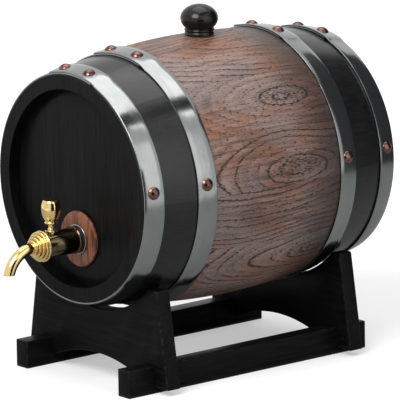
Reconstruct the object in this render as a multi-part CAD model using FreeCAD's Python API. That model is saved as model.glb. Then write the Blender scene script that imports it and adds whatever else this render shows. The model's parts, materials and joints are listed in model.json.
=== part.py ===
import FreeCAD, Part
import math
import os

# Small oak cask with a tap, lying on a black wooden stand.  Millimetres, +Z up.
# The cask lies along Y with its tapped head facing -Y.  The origin is on the floor,
# under the middle of the whole object's outline.

V = FreeCAD.Vector

# Cask
cask_length = 235.0
head_diameter = 166.0
bilge_swell = 26.4
stave_count = 14
stave_end_thickness = 10.5
stave_bilge_thickness = 11.5

# Heads
chime_depth = 10.5
croze_width = 5.1
croze_depth = 3.5
croze_side_clearance = 0.05
croze_end_clearance = 0.3
head_thickness = 10.0
head_bevel_rise = 2.0
head_bevel_width = 9.0
head_board_width = 49.0
dowel_diameter = 5.0
dowel_length = 22.0
dowel_height = 32.0
dowel_clearance = 0.1

# Hoops
hoop_thickness = 1.25
hoop_seat = 0.05
head_hoop_width = 15.5
head_hoop_setback = 0.6
quarter_hoop_gap = 27.5
quarter_hoop_width = 15.9
lap_start = 73.4
lap_angle = 33.0

# Hoop rivets and side nails
rivet_diameter = 9.4
rivet_height = 2.6
rivet_shank = 3.4
rivet_clearance = 0.1
rivet_angles = [81.0, 99.5]
nail_angles = [6.5, 173.5]
nail_bite = 6.5

# Bung
bung_offset = 4.0
bung_hole_top = 18.0
bung_hole_taper = 2.4
cork_length = 26.0
cork_clearance = 0.05
bung_seat = 0.3
knob_diameter = 27.8
knob_base_diameter = 21.8
knob_height = 22.4
knob_base_height = 1.8
knob_neck_cut = 0.6
knob_bead_low = 2.6
knob_bead_high = 4.8
knob_bead_swell = 0.2
knob_ball_low = 5.2
knob_flank_height = 8.2
knob_flank_inset = 1.1
knob_widest = 12.0
knob_tenon_diameter = 7.0
knob_tenon_length = 12.0
knob_tenon_clearance = 0.05

# Tap
tap_drop = 38.0
tap_shank_diameter = 12.0
tap_shank_clearance = 0.2
rosette_diameter = 41.0
rosette_thickness = 3.0
washer_diameter = 22.4
washer_thickness = 1.6
gasket_diameter = 20.4
gasket_thickness = 1.2
tap_back_diameter = 20.6
tap_front_diameter = 16.6
tap_body_length = 29.2
tap_bore = 6.0
backing_gasket_diameter = 22.0
backing_gasket_thickness = 2.0
lock_nut_across_flats = 18.0
lock_nut_thickness = 6.0
nut_clearance = 0.05
shank_stand_out = 2.0
nose_socket_diameter = 11.0
nose_socket_depth = 2.0
nose_clearance = 0.05
nose_rings = [(7.4, 2.5), (6.9, 2.4), (5.3, 2.1), (3.5, 2.0), (1.7, 2.2)]
nose_ring_ease = 0.45
nose_groove_width = 0.6
nose_groove_depth = 0.9
spout_diameter = 8.2
spout_bore = 5.8
spout_socket = 5.0
spout_end_gap = 1.0
spout_bend_radius = 22.0
spout_straight = 3.0
spout_bend_angle = 72.0
spout_tail = 4.0
spout_tip_drop = 16.5

# Turning key
key_setback = 8.0
key_diameter = 7.0
key_clearance = 0.05
key_floor = 6.4
key_port = 4.8
key_boss_diameter = 9.6
key_boss_rise = 0.5
gland_diameter = 9.2
gland_thickness = 1.5
gland_spigot = 1.5
gland_gap = 0.1
gland_clearance = 0.02
stem_diameter = 5.0
stem_show = 4.6
handle_neck_diameter = 9.6
handle_neck_height = 1.6
handle_foot_diameter = 10.4
handle_waist_diameter = 13.8
handle_top_diameter = 11.6
handle_height = 17.4
handle_socket_depth = 8.0
handle_clearance = 0.02

# Stand
rail_height = 20.4
rail_width = 13.0
rail_inset = 14.9
rail_front_overhang = 29.5
rail_rear_overhang = 21.5
board_thickness = 12.0
front_board_inset = 27.5
rear_board_inset = 35.5
board_splay = 11.5
board_shoulder_inset = 26.8
board_shoulder_height = 76.0
board_horn_drop = 67.5
board_foot_height = 4.5
joint_height = 10.2
joint_clearance = 0.1
arch_height = 18.0
arch_foot_height = 6.6
saddle_clearance = 0.3
saddle_relief = 2.0

# Derived sizes
half_length = cask_length / 2
end_radius = head_diameter / 2
bilge_radius = end_radius + bilge_swell / 2
axis_height = board_shoulder_height + board_horn_drop
board_shoulder_half = bilge_radius - board_shoulder_inset
board_foot_half = board_shoulder_half + board_splay
rail_outer_half = board_foot_half - rail_inset
rail_inner_half = rail_outer_half - rail_width
head_plane = half_length - chime_depth + head_bevel_rise
rivet_bore = rivet_shank / 2 + rivet_clearance
front_board_y = front_board_inset - half_length
rear_board_y = half_length - rear_board_inset


def arc_radius(y, middle, end):
    """Radius at y of the circular curve that runs from end to middle to end."""
    rise = middle - end
    bend = (half_length ** 2 + rise ** 2) / (2 * rise)
    return middle - bend + math.sqrt(bend ** 2 - y ** 2)


def outer_radius(y):
    return arc_radius(y, bilge_radius, end_radius)


def inner_radius(y):
    middle = bilge_radius - stave_bilge_thickness
    return arc_radius(y, middle, end_radius - stave_end_thickness)


def surface_normal(y, angle):
    """Outward normal of the cask surface, at y along it and angle above +X."""
    rise = bilge_radius - end_radius
    bend = (half_length ** 2 + rise ** 2) / (2 * rise)
    lean = y / math.sqrt(bend ** 2 - y ** 2)
    turn = math.radians(angle)
    normal = V(math.cos(turn), lean, math.sin(turn))
    return normal.normalize()


def surface_point(y, angle, radius):
    turn = math.radians(angle)
    return V(radius * math.cos(turn), y, radius * math.sin(turn))


def placed(shape, point, direction):
    """Copy of a shape built along +Z, stood at point along direction."""
    copy = shape.copy()
    copy.Placement = FreeCAD.Placement(point, FreeCAD.Rotation(V(0, 0, 1), direction))
    return copy


def line_face(points):
    """Flat face from (radius, y) corner points."""
    corners = [V(r, y, 0) for r, y in points]
    return Part.Face(Part.makePolygon(corners + corners[:1]))


def turned(points, angle=360.0, start=0.0):
    """Solid turned about the Y axis; start is measured from +X towards +Z."""
    solid = line_face(points).revolve(V(0, 0, 0), V(0, -1, 0), angle)
    solid.rotate(V(0, 0, 0), V(0, -1, 0), start)
    return solid


def turned_upright(points):
    """Solid turned about the Z axis from (radius, z) corner points."""
    corners = [V(r, 0, z) for r, z in points]
    face = Part.Face(Part.makePolygon(corners + corners[:1]))
    return face.revolve(V(0, 0, 0), V(0, 0, 1), 360)


def pin(radius, length, point, direction):
    return Part.makeCylinder(radius, length, point, direction)


def group(solids):
    return solids[0] if len(solids) == 1 else Part.Compound(solids)


# ---- cask ---------------------------------------------------------------------------

def stave_blank(angle, start):
    """One stave: bilged, crozed for both heads, its joints cut radially."""
    croze_out = half_length - chime_depth
    croze_in = croze_out - croze_width
    croze_radius = inner_radius(croze_out) + croze_depth
    chime_radius = inner_radius(croze_out)
    throat = inner_radius(croze_in)
    inside = bilge_radius - stave_bilge_thickness
    lip = end_radius - stave_end_thickness
    outer = Part.Arc(V(end_radius, -half_length, 0), V(bilge_radius, 0, 0),
                     V(end_radius, half_length, 0)).toShape()
    rear = [V(end_radius, half_length, 0), V(lip, half_length, 0),
            V(chime_radius, croze_out, 0), V(croze_radius, croze_out, 0),
            V(croze_radius, croze_in, 0), V(throat, croze_in, 0)]
    front = [V(p.x, -p.y, 0) for p in reversed(rear)]
    inner = Part.Arc(rear[-1], V(inside, 0, 0), front[0]).toShape()
    wire = Part.Wire([outer] + Part.makePolygon(rear).Edges + [inner]
                     + Part.makePolygon(front).Edges)
    solid = Part.Face(wire).revolve(V(0, 0, 0), V(0, -1, 0), angle)
    solid.rotate(V(0, 0, 0), V(0, -1, 0), start)
    return solid


def bung_taper(top, bottom, clearance):
    """Tapered plug between two heights, in the cask's own frame."""
    slope = bung_hole_taper / 2 / cork_length
    seat = bilge_radius + bung_seat
    radius_top = bung_hole_top / 2 - slope * (seat - top) - clearance
    radius_bottom = bung_hole_top / 2 - slope * (seat - bottom) - clearance
    return Part.makeCone(radius_bottom, radius_top, top - bottom,
                         V(0, bung_offset, bottom), V(0, 0, 1))


def hoop_rows():
    """Name, near edge and far edge of each hoop, measured from the cask's middle."""
    head_far = half_length - head_hoop_setback
    head_near = head_far - head_hoop_width
    quarter_far = head_near - quarter_hoop_gap
    quarter_near = quarter_far - quarter_hoop_width
    return [("front_head_hoop", -head_far, -head_near),
            ("front_quarter_hoop", -quarter_far, -quarter_near),
            ("rear_quarter_hoop", quarter_near, quarter_far),
            ("rear_head_hoop", head_near, head_far)]


def nail_holes():
    """Holes in the staves for the hoops' side nails."""
    holes = []
    for _, near, far in hoop_rows():
        middle = (near + far) / 2
        for angle in nail_angles:
            normal = surface_normal(middle, angle)
            point = surface_point(middle, angle, outer_radius(middle))
            depth = nail_bite + rivet_clearance
            holes.append((angle, pin(rivet_bore, depth + 2, point - normal * depth, normal)))
    return holes


def staves():
    """All the staves; the first one, at the top, carries the bung hole."""
    step = 360.0 / stave_count
    holes = nail_holes()
    nodes = {}
    for index in range(stave_count):
        centre = 90.0 - index * step
        solid = stave_blank(step, centre - step / 2)
        if index == 0:
            name = "bung_stave"
            solid = solid.cut(bung_taper(bilge_radius + 1, bilge_radius - 30, 0.0))
        else:
            name = "stave_%02d" % (index + 1)
        for angle, hole in holes:
            away = abs((angle - centre + 180) % 360 - 180)
            if away < step:
                solid = solid.cut(hole)
        nodes[name] = solid.Solids[0]
    return nodes


def head_disc(side):
    """Whole head, bevelled at its rim; side is -1 in front and 1 at the rear."""
    croze_out = half_length - chime_depth
    croze_in = croze_out - croze_width
    rim = inner_radius(croze_out) + croze_depth - croze_end_clearance
    lip_out = inner_radius(croze_out) - croze_end_clearance
    lip_in = inner_radius(croze_in) - croze_end_clearance
    flat = lip_out - head_bevel_width
    back = head_plane - head_thickness
    near = croze_in + croze_side_clearance
    far = croze_out - croze_side_clearance
    points = [(0, head_plane), (flat, head_plane), (lip_out, far), (rim, far),
              (rim, near), (lip_in, near), (flat, back), (0, back)]
    return turned([(r, side * y) for r, y in points])


def head_dowels(side, grown=0.0):
    """Dowels that align the head boards, or their holes when grown."""
    middle = side * (head_plane - head_thickness / 2)
    length = dowel_length + 2 * grown
    dowels = []
    for joint in (-1, 1):
        for height in (-1, 1):
            start = joint * head_board_width / 2 - length / 2
            point = V(start, middle, height * dowel_height)
            dowels.append(pin(dowel_diameter / 2 + grown, length, point, V(1, 0, 0)))
    return dowels


def head_boards(prefix, side, hole):
    """Middle board and two cant boards of one head."""
    disc = head_disc(side)
    for hollow in head_dowels(side, dowel_clearance):
        disc = disc.cut(hollow)
    if hole:
        bore = tap_shank_diameter / 2 + tap_shank_clearance
        disc = disc.cut(pin(bore, cask_length, V(0, -cask_length, -tap_drop), V(0, 1, 0)))
    reach = head_diameter
    half = head_board_width / 2
    rows = [("left", -reach, -half), ("middle", -half, half), ("right", half, reach)]
    nodes = {}
    for label, low, high in rows:
        block = Part.makeBox(high - low, 2 * cask_length, 2 * reach,
                             V(low, -cask_length, -reach))
        nodes["%s_head_%s_board" % (prefix, label)] = disc.common(block).Solids[0]
    return nodes


def hoop_band(near, far, lift, angle, start):
    """Band that follows the staves' curve, lifted off them by lift."""
    middle = (near + far) / 2
    low = hoop_seat + lift
    high = low + hoop_thickness
    inner = Part.Arc(*[V(outer_radius(y) + low, y, 0) for y in (near, middle, far)])
    outer = Part.Arc(*[V(outer_radius(y) + high, y, 0) for y in (far, middle, near)])
    side = Part.makeLine(inner.EndPoint, outer.StartPoint)
    close = Part.makeLine(outer.EndPoint, inner.StartPoint)
    wire = Part.Wire([inner.toShape(), side, outer.toShape(), close])
    solid = Part.Face(wire).revolve(V(0, 0, 0), V(0, -1, 0), angle)
    solid.rotate(V(0, 0, 0), V(0, -1, 0), start)
    return solid


def hoop_fixings(near, far):
    """Angle, height above the staves and shank length of each rivet and nail."""
    seat = hoop_seat + hoop_thickness
    rows = [(a, seat + hoop_thickness, 2 * hoop_thickness) for a in rivet_angles]
    rows += [(a, seat, seat + nail_bite) for a in nail_angles]
    return rows


def hoop(near, far):
    """Hoop bent from strip, its ends lapped over the top and drilled for rivets."""
    solid = hoop_band(near, far, 0.0, 360.0, 0.0)
    lap = hoop_band(near, far, hoop_thickness, lap_angle, lap_start)
    solid = solid.fuse(lap).removeSplitter()
    middle = (near + far) / 2
    for angle, _, _ in hoop_fixings(near, far):
        normal = surface_normal(middle, angle)
        point = surface_point(middle, angle, outer_radius(middle)) - normal
        solid = solid.cut(pin(rivet_bore, 8, point, normal))
    return solid.Solids[0]


def rivet(shank_length):
    """Domed rivet along +Z, the underside of its head at zero."""
    half = rivet_diameter / 2
    ball = (half ** 2 + rivet_height ** 2) / (2 * rivet_height)
    dome = Part.makeSphere(ball, V(0, 0, rivet_height - ball))
    keep = Part.makeCylinder(rivet_diameter, rivet_diameter, V(0, 0, 0))
    shank = Part.makeCylinder(rivet_shank / 2, shank_length + 0.2, V(0, 0, -shank_length))
    return dome.common(keep).fuse(shank).removeSplitter()


def hoop_rivets(near, far):
    middle = (near + far) / 2
    solids = []
    for angle, lift, shank_length in hoop_fixings(near, far):
        normal = surface_normal(middle, angle)
        point = surface_point(middle, angle, outer_radius(middle)) + normal * lift
        solids.append(placed(rivet(shank_length), point, normal))
    return solids


# ---- bung ---------------------------------------------------------------------------

def bung_cork():
    seat = bilge_radius + bung_seat
    cork = bung_taper(seat, seat - cork_length, cork_clearance)
    socket = pin(knob_tenon_diameter / 2 + knob_tenon_clearance, knob_tenon_length + 0.2,
                 V(0, bung_offset, seat - knob_tenon_length - 0.2), V(0, 0, 1))
    return cork.cut(socket).Solids[0]


def bung_knob():
    """Turned knob: squat ball, bead and base, with a tenon that enters the cork."""
    base = knob_base_diameter / 2
    wide = knob_diameter / 2
    low = base - knob_neck_cut
    flank = V(wide - knob_flank_inset, 0, knob_flank_height)
    lower = Part.Arc(V(low, 0, knob_ball_low), flank, V(wide, 0, knob_widest))
    rise = knob_height - knob_widest
    diagonal = math.sqrt(0.5)
    upper_mid = V(wide * diagonal, 0, knob_widest + rise * diagonal)
    upper = Part.BSplineCurve()
    upper.interpolate([V(wide, 0, knob_widest), upper_mid, V(0, 0, knob_height)],
                      InitialTangent=V(0, 0, 1), FinalTangent=V(-1, 0, 0))
    bead_middle = (knob_bead_low + knob_bead_high) / 2
    bead = Part.Arc(V(low, 0, knob_bead_low), V(base + knob_bead_swell, 0, bead_middle),
                    V(low, 0, knob_bead_high))
    tenon = knob_tenon_diameter / 2
    edges = [Part.makeLine(V(0, 0, knob_height), V(0, 0, -knob_tenon_length)),
             Part.makeLine(V(0, 0, -knob_tenon_length), V(tenon, 0, -knob_tenon_length)),
             Part.makeLine(V(tenon, 0, -knob_tenon_length), V(tenon, 0, 0)),
             Part.makeLine(V(tenon, 0, 0), V(base, 0, 0)),
             Part.makeLine(V(base, 0, 0), V(base, 0, knob_base_height)),
             Part.makeLine(V(base, 0, knob_base_height), V(low, 0, knob_bead_low)),
             bead.toShape(),
             Part.makeLine(V(low, 0, knob_bead_high), V(low, 0, knob_ball_low)),
             lower.toShape(),
             upper.toShape()]
    solid = Part.Face(Part.Wire(edges)).revolve(V(0, 0, 0), V(0, 0, 1), 360)
    solid.translate(V(0, bung_offset, bilge_radius + bung_seat))
    return solid


# ---- tap ----------------------------------------------------------------------------

def on_tap_axis(solid):
    solid.translate(V(0, 0, -tap_drop))
    return solid


def tap_stack():
    """Start of each piece on the tap's axis, from the head's face outwards."""
    rosette = head_plane
    washer = rosette + rosette_thickness
    gasket = washer + washer_thickness
    body = gasket + gasket_thickness
    return rosette, washer, gasket, body


def disc(diameter, thickness, start):
    """Ring that fits the tap shank, from start outwards along the tap's axis."""
    bore = tap_shank_diameter / 2 + tap_shank_clearance
    half = diameter / 2
    end = start + thickness
    return on_tap_axis(turned([(bore, -start), (half, -start), (half, -end), (bore, -end)]))


def tap_rosette():
    """Wooden disc with a rounded front edge, between the head and the tap."""
    start = tap_stack()[0]
    bore = tap_shank_diameter / 2 + tap_shank_clearance
    half = rosette_diameter / 2
    end = start + rosette_thickness
    ease = rosette_thickness / 2
    points = [(bore, -start), (half, -start), (half, -(end - ease)),
              (half - ease * 0.3, -(end - ease * 0.3)), (half - ease, -end), (bore, -end)]
    return on_tap_axis(turned(points))


def key_centre():
    return tap_stack()[3] + tap_body_length - key_setback


def body_radius(y):
    """Radius of the tapered tap body at a distance y along the tap's axis."""
    start = tap_stack()[3]
    share = (y - start) / tap_body_length
    return tap_back_diameter / 2 + share * (tap_front_diameter - tap_back_diameter) / 2


def boss_top():
    return body_radius(key_centre()) + key_boss_rise


def tap_body():
    """Tapered body and threaded shank in one, bored through and cross-bored for the key."""
    start = tap_stack()[3]
    end = start + tap_body_length
    inner_end = head_plane - head_thickness - backing_gasket_thickness
    inner_end = inner_end - lock_nut_thickness - shank_stand_out
    shank = tap_shank_diameter / 2
    back = tap_back_diameter / 2
    front = tap_front_diameter / 2
    bore = tap_bore / 2
    socket = nose_socket_diameter / 2
    points = [(bore, -inner_end), (shank - 0.6, -inner_end), (shank, -inner_end - 0.6),
              (shank, -start), (back - 0.6, -start), (back, -start - 0.8),
              (front, -end + 0.6), (front - 0.5, -end), (socket, -end),
              (socket, -end + nose_socket_depth), (bore, -end + nose_socket_depth)]
    solid = turned(points)
    centre = V(0, -key_centre(), 0)
    boss = pin(key_boss_diameter / 2, boss_top() - bore - 1.0, centre + V(0, 0, bore + 1.0),
               V(0, 0, 1))
    solid = solid.fuse(boss)
    key_hole = pin(key_diameter / 2, boss_top() + key_floor + 1, centre - V(0, 0, key_floor),
                   V(0, 0, 1))
    solid = solid.cut(key_hole).removeSplitter()
    return on_tap_axis(solid.Solids[0])


def tap_nose():
    """Stepped collar on the front of the tap, socketed into the body."""
    end = tap_stack()[3] + tap_body_length
    spigot = nose_socket_diameter / 2 - nose_clearance
    root = spout_diameter / 2 + nose_clearance
    ease = nose_ring_ease
    y = end
    points = [(spigot, -(end - nose_socket_depth + nose_clearance))]
    points.append((spigot, -y))
    for index, (step, width) in enumerate(nose_rings):
        radius = spout_diameter / 2 + step
        points += [(radius - ease, -y), (radius, -(y + ease)),
                   (radius, -(y + width - nose_groove_width - ease)),
                   (radius - ease, -(y + width - nose_groove_width))]
        y = y + width
        if index + 1 < len(nose_rings):
            floor = spout_diameter / 2 + nose_rings[index + 1][0] - nose_groove_depth
            points += [(floor, -(y - nose_groove_width)), (floor, -y)]
    tip = y - nose_groove_width
    points += [(root, -tip), (root, -(tip - spout_socket)),
               (tap_bore / 2, -(tip - spout_socket)),
               (tap_bore / 2, -(end - nose_socket_depth + nose_clearance))]
    return on_tap_axis(turned(points))


def nose_tip():
    length = sum(width for _, width in nose_rings) - nose_groove_width
    return tap_stack()[3] + tap_body_length + length


def spout_path():
    """Start, bend and tail of the spout's centre line, in the tap's plane."""
    start = nose_tip() - spout_socket + spout_end_gap
    bend = start + spout_straight
    turn = math.radians(spout_bend_angle)
    radius = spout_bend_radius
    a = V(0, -start, 0)
    b = V(0, -bend, 0)
    half = turn / 2
    middle = b + V(0, -radius * math.sin(half), -radius * (1 - math.cos(half)))
    c = b + V(0, -radius * math.sin(turn), -radius * (1 - math.cos(turn)))
    d = c + V(0, -math.cos(turn), -math.sin(turn)) * spout_tail
    return a, b, middle, c, d


def spout_bar(radius):
    """Round bar of one radius along the spout's centre line."""
    a, b, middle, c, d = spout_path()
    path = Part.Wire([Part.makeLine(a, b), Part.Arc(b, middle, c).toShape(),
                      Part.makeLine(c, d)])
    ring = Part.Wire(Part.makeCircle(radius, a, V(0, -1, 0)))
    return path.makePipeShell([ring], True, False)


def tap_spout():
    """Bent tube that leaves the nose and turns down, cut level at its tip."""
    tube = spout_bar(spout_diameter / 2).cut(spout_bar(spout_bore / 2))
    below = Part.makeBox(60, 120, 60, V(-30, -nose_tip() - 60, -60 - spout_tip_drop))
    return on_tap_axis(tube.cut(below).Solids[0])


def lock_nut():
    """Hexagon nut that clamps the tap from inside the cask."""
    end = head_plane - head_thickness - backing_gasket_thickness
    corner = lock_nut_across_flats / math.sqrt(3)
    corners = [V(corner * math.cos(math.radians(a)), 0, corner * math.sin(math.radians(a)))
               for a in range(0, 361, 60)]
    prism = Part.Face(Part.makePolygon(corners)).extrude(V(0, lock_nut_thickness, 0))
    bore = pin(tap_shank_diameter / 2 + nut_clearance, lock_nut_thickness, V(0, 0, 0), V(0, 1, 0))
    solid = prism.cut(bore)
    solid.translate(V(0, -end, 0))
    return on_tap_axis(solid.Solids[0])


def stem_top():
    return boss_top() + gland_thickness + stem_show + handle_neck_height + handle_socket_depth


def tap_key():
    """Cross-bored plug and its stem, turned as one piece."""
    shoulder = boss_top() - gland_spigot - gland_gap
    plug = key_diameter / 2 - key_clearance
    stem = stem_diameter / 2
    points = [(0, -key_floor + gland_gap), (plug, -key_floor + gland_gap), (plug, shoulder),
              (stem, shoulder), (stem, stem_top() - 0.2), (0, stem_top() - 0.2)]
    solid = turned_upright(points)
    port = pin(key_port / 2, 2 * key_diameter, V(-key_diameter, 0, 0), V(1, 0, 0))
    solid = solid.cut(port)
    solid.translate(V(0, -key_centre(), 0))
    return on_tap_axis(solid.Solids[0])


def tap_gland():
    """Flanged ring that keeps the key down in the body."""
    low = boss_top() - gland_spigot
    seat = boss_top()
    top = seat + gland_thickness
    hole = stem_diameter / 2 + key_clearance
    spigot = key_diameter / 2 - gland_clearance
    flange = gland_diameter / 2
    points = [(hole, low), (spigot, low), (spigot, seat), (flange, seat),
              (flange, top - 0.5), (flange - 0.5, top), (hole, top)]
    solid = turned_upright(points)
    solid.translate(V(0, -key_centre(), 0))
    return on_tap_axis(solid)


def tap_handle():
    """Keg-shaped grip on the key's stem, with a ringed neck and a flat top."""
    low = boss_top() + gland_thickness + stem_show
    neck = handle_neck_diameter / 2
    foot = handle_foot_diameter / 2
    wide = handle_waist_diameter / 2
    top = handle_top_diameter / 2
    keg_low = low + handle_neck_height + 0.6
    high = low + handle_height
    middle = keg_low + 0.5 * (high - keg_low)
    socket = stem_diameter / 2 + handle_clearance
    depth = low + handle_neck_height + handle_socket_depth
    side = Part.Arc(V(foot - 0.7, 0, keg_low), V(wide, 0, middle), V(top, 0, high - 0.6))
    ring = Part.Arc(V(neck - 0.6, 0, low), V(neck, 0, low + handle_neck_height / 2),
                    V(neck - 0.6, 0, low + handle_neck_height))
    edges = [Part.makeLine(V(socket, 0, low), V(neck - 0.6, 0, low)),
             ring.toShape(),
             Part.makeLine(V(neck - 0.6, 0, low + handle_neck_height),
                           V(neck - 0.6, 0, keg_low)),
             Part.makeLine(V(neck - 0.6, 0, keg_low), V(foot - 0.7, 0, keg_low)),
             side.toShape(),
             Part.makeLine(V(top, 0, high - 0.6), V(top - 0.6, 0, high)),
             Part.makeLine(V(top - 0.6, 0, high), V(0, 0, high)),
             Part.makeLine(V(0, 0, high), V(0, 0, depth)),
             Part.makeLine(V(0, 0, depth), V(socket, 0, depth)),
             Part.makeLine(V(socket, 0, depth), V(socket, 0, low))]
    solid = Part.Face(Part.Wire(edges)).revolve(V(0, 0, 0), V(0, 0, 1), 360)
    solid.translate(V(0, -key_centre(), 0))
    return on_tap_axis(solid)


# ---- stand --------------------------------------------------------------------------

def seat_radius(board_y):
    """Largest cask radius over one board's thickness, with the seat's clearance."""
    return outer_radius(abs(board_y) - board_thickness / 2) + saddle_clearance


def horn_half(board_y):
    """Half the gap between a board's two horns, where the cask touches them."""
    return math.sqrt(seat_radius(board_y) ** 2 - board_horn_drop ** 2)


def cradle_board(board_y):
    """Cradle board: sides that splay to the foot, a saddle, an arch and two slots."""
    horn = horn_half(board_y)
    saddle = axis_height - seat_radius(board_y) - saddle_relief
    slot_in = rail_inner_half - joint_clearance
    slot_out = rail_outer_half + joint_clearance
    slot_top = joint_height + joint_clearance
    right = [V(slot_in, 0, arch_foot_height), V(slot_in, 0, slot_top),
             V(slot_out, 0, slot_top), V(slot_out, 0, board_foot_height),
             V(board_foot_half, 0, board_foot_height),
             V(board_shoulder_half, 0, board_shoulder_height),
             V(horn, 0, board_shoulder_height)]
    left = [V(-p.x, 0, p.z) for p in reversed(right)]
    seat = Part.Arc(right[-1], V(0, 0, saddle), left[0]).toShape()
    arch = Part.Arc(left[-1], V(0, 0, arch_height), right[0]).toShape()
    wire = Part.Wire(Part.makePolygon(right).Edges + [seat]
                     + Part.makePolygon(left).Edges + [arch])
    board = Part.Face(wire).extrude(V(0, board_thickness, 0))
    board.translate(V(0, board_y - board_thickness / 2, 0))
    return board


def rail(side):
    """Rail on edge, notched from above where the two boards cross it."""
    low = rail_inner_half if side > 0 else -rail_outer_half
    start = front_board_y - rail_front_overhang
    length = rear_board_y + rail_rear_overhang - start
    solid = Part.makeBox(rail_width, length, rail_height, V(low, start, 0))
    for board_y in (front_board_y, rear_board_y):
        width = board_thickness + 2 * joint_clearance
        notch = Part.makeBox(rail_width + 2, width, rail_height,
                             V(low - 1, board_y - width / 2, joint_height))
        solid = solid.cut(notch)
    return solid.Solids[0]


# ---- assembly -----------------------------------------------------------------------

def cask_nodes():
    """Everything that belongs to the cask, in the cask's own frame."""
    _, washer, gasket, _ = tap_stack()
    inside = head_plane - head_thickness - backing_gasket_thickness
    nodes = staves()
    nodes.update(head_boards("front", -1, True))
    nodes.update(head_boards("rear", 1, False))
    nodes["front_head_dowels"] = group(head_dowels(-1))
    nodes["rear_head_dowels"] = group(head_dowels(1))
    for name, near, far in hoop_rows():
        nodes[name] = hoop(near, far)
        nodes[name + "_rivets"] = group(hoop_rivets(near, far))
    nodes["bung_cork"] = bung_cork()
    nodes["bung_knob"] = bung_knob()
    nodes["tap_rosette"] = tap_rosette()
    nodes["tap_washer"] = disc(washer_diameter, washer_thickness, washer)
    nodes["tap_gasket"] = disc(gasket_diameter, gasket_thickness, gasket)
    nodes["tap_backing_gasket"] = disc(backing_gasket_diameter, backing_gasket_thickness,
                                       inside)
    nodes["tap_body"] = tap_body()
    nodes["tap_nose"] = tap_nose()
    nodes["tap_spout"] = tap_spout()
    nodes["tap_lock_nut"] = lock_nut()
    nodes["tap_key"] = tap_key()
    nodes["tap_gland"] = tap_gland()
    nodes["tap_handle"] = tap_handle()
    for solid in nodes.values():
        solid.translate(V(0, 0, axis_height))
    return nodes


def stand_nodes():
    return {"front_cradle_board": cradle_board(front_board_y),
            "rear_cradle_board": cradle_board(rear_board_y),
            "left_rail": rail(-1),
            "right_rail": rail(1)}


def main():
    """Build every node, centre the outline over the origin and write the files."""
    nodes = cask_nodes()
    nodes.update(stand_nodes())
    box = Part.Compound(list(nodes.values())).optimalBoundingBox(False)
    shift = -(box.YMin + box.YMax) / 2
    os.makedirs("parts", exist_ok=True)
    for name, shape in nodes.items():
        shape.translate(V(0, shift, 0))
        shape.exportStep("parts/%s.step" % name)
    print("nodes", len(nodes), "shift", round(shift, 3))


main()
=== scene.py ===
"""Looks of a small oak cask with a brass tap, lying on a black wooden stand.

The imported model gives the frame: every piece takes its place from a node's box.
Sizes are in metres, +Z is up, and the cask lies along Y with its tap at -Y.
"""

import json
import logging
import math
from dataclasses import dataclass, field
from enum import Enum
from typing import Sequence, Union

import bmesh
import bpy
from mathutils import Matrix, Vector

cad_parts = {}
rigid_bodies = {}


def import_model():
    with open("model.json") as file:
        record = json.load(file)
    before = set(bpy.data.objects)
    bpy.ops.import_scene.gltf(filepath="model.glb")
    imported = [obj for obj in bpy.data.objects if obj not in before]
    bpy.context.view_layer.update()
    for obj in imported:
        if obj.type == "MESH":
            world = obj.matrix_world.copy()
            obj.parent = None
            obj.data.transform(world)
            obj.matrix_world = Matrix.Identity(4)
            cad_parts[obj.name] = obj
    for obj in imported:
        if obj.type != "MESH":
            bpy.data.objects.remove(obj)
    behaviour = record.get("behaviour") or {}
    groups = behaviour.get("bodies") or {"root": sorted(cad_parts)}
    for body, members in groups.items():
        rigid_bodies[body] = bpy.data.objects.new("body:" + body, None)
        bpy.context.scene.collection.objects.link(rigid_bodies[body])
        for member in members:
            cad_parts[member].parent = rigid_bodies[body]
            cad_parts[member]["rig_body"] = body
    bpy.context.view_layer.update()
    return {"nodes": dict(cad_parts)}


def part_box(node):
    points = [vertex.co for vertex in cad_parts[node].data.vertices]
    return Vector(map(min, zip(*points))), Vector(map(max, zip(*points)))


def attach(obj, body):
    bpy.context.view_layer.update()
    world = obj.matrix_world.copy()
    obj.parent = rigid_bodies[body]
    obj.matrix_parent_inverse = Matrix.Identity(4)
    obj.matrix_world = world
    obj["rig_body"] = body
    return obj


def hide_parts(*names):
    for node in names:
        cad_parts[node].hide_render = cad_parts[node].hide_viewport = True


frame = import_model()

Pair = tuple[float, float]
Colour = tuple[float, float, float]
Socket = bpy.types.NodeSocket
Value = Union[float, Sequence[float], Socket]

RINGS = 96
log = logging.getLogger("cask")


# ---- shaping -----------------------------------------------------------------------

def arc(centre: Pair, radius: float, start: float, end: float, steps: int) -> list[Pair]:
    """Points along an arc.

    Args:
        centre: Middle of the arc.
        radius: Radius of the arc.
        start: First angle, in degrees from the first axis.
        end: Last angle, in degrees.
        steps: Number of equal steps between the two.

    Returns:
        The points, both ends included.
    """
    turns = [math.radians(start + (end - start) * i / steps) for i in range(steps + 1)]
    return [(centre[0] + radius * math.cos(t), centre[1] + radius * math.sin(t)) for t in turns]


def arc_through(first: Pair, middle: Pair, last: Pair, steps: int) -> list[Pair]:
    """Points along the arc through three points.

    Args:
        first: Start of the arc.
        middle: Any point on it.
        last: End of the arc.
        steps: Number of equal steps.

    Returns:
        The points, both ends included.
    """
    a, b, c = Vector(first), Vector(middle), Vector(last)
    d = 2 * (a.x * (b.y - c.y) + b.x * (c.y - a.y) + c.x * (a.y - b.y))
    squares = [p.length_squared for p in (a, b, c)]
    x = (squares[0] * (b.y - c.y) + squares[1] * (c.y - a.y) + squares[2] * (a.y - b.y)) / d
    y = (squares[0] * (c.x - b.x) + squares[1] * (a.x - c.x) + squares[2] * (b.x - a.x)) / d
    turns = [math.atan2(p.y - y, p.x - x) for p in (a, b, c)]
    span = (turns[2] - turns[0]) % math.tau
    if (turns[1] - turns[0]) % math.tau > span:
        span -= math.tau
    start = math.degrees(turns[0])
    radius = (a - Vector((x, y))).length
    return arc((x, y), radius, start, start + math.degrees(span), steps)


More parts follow.
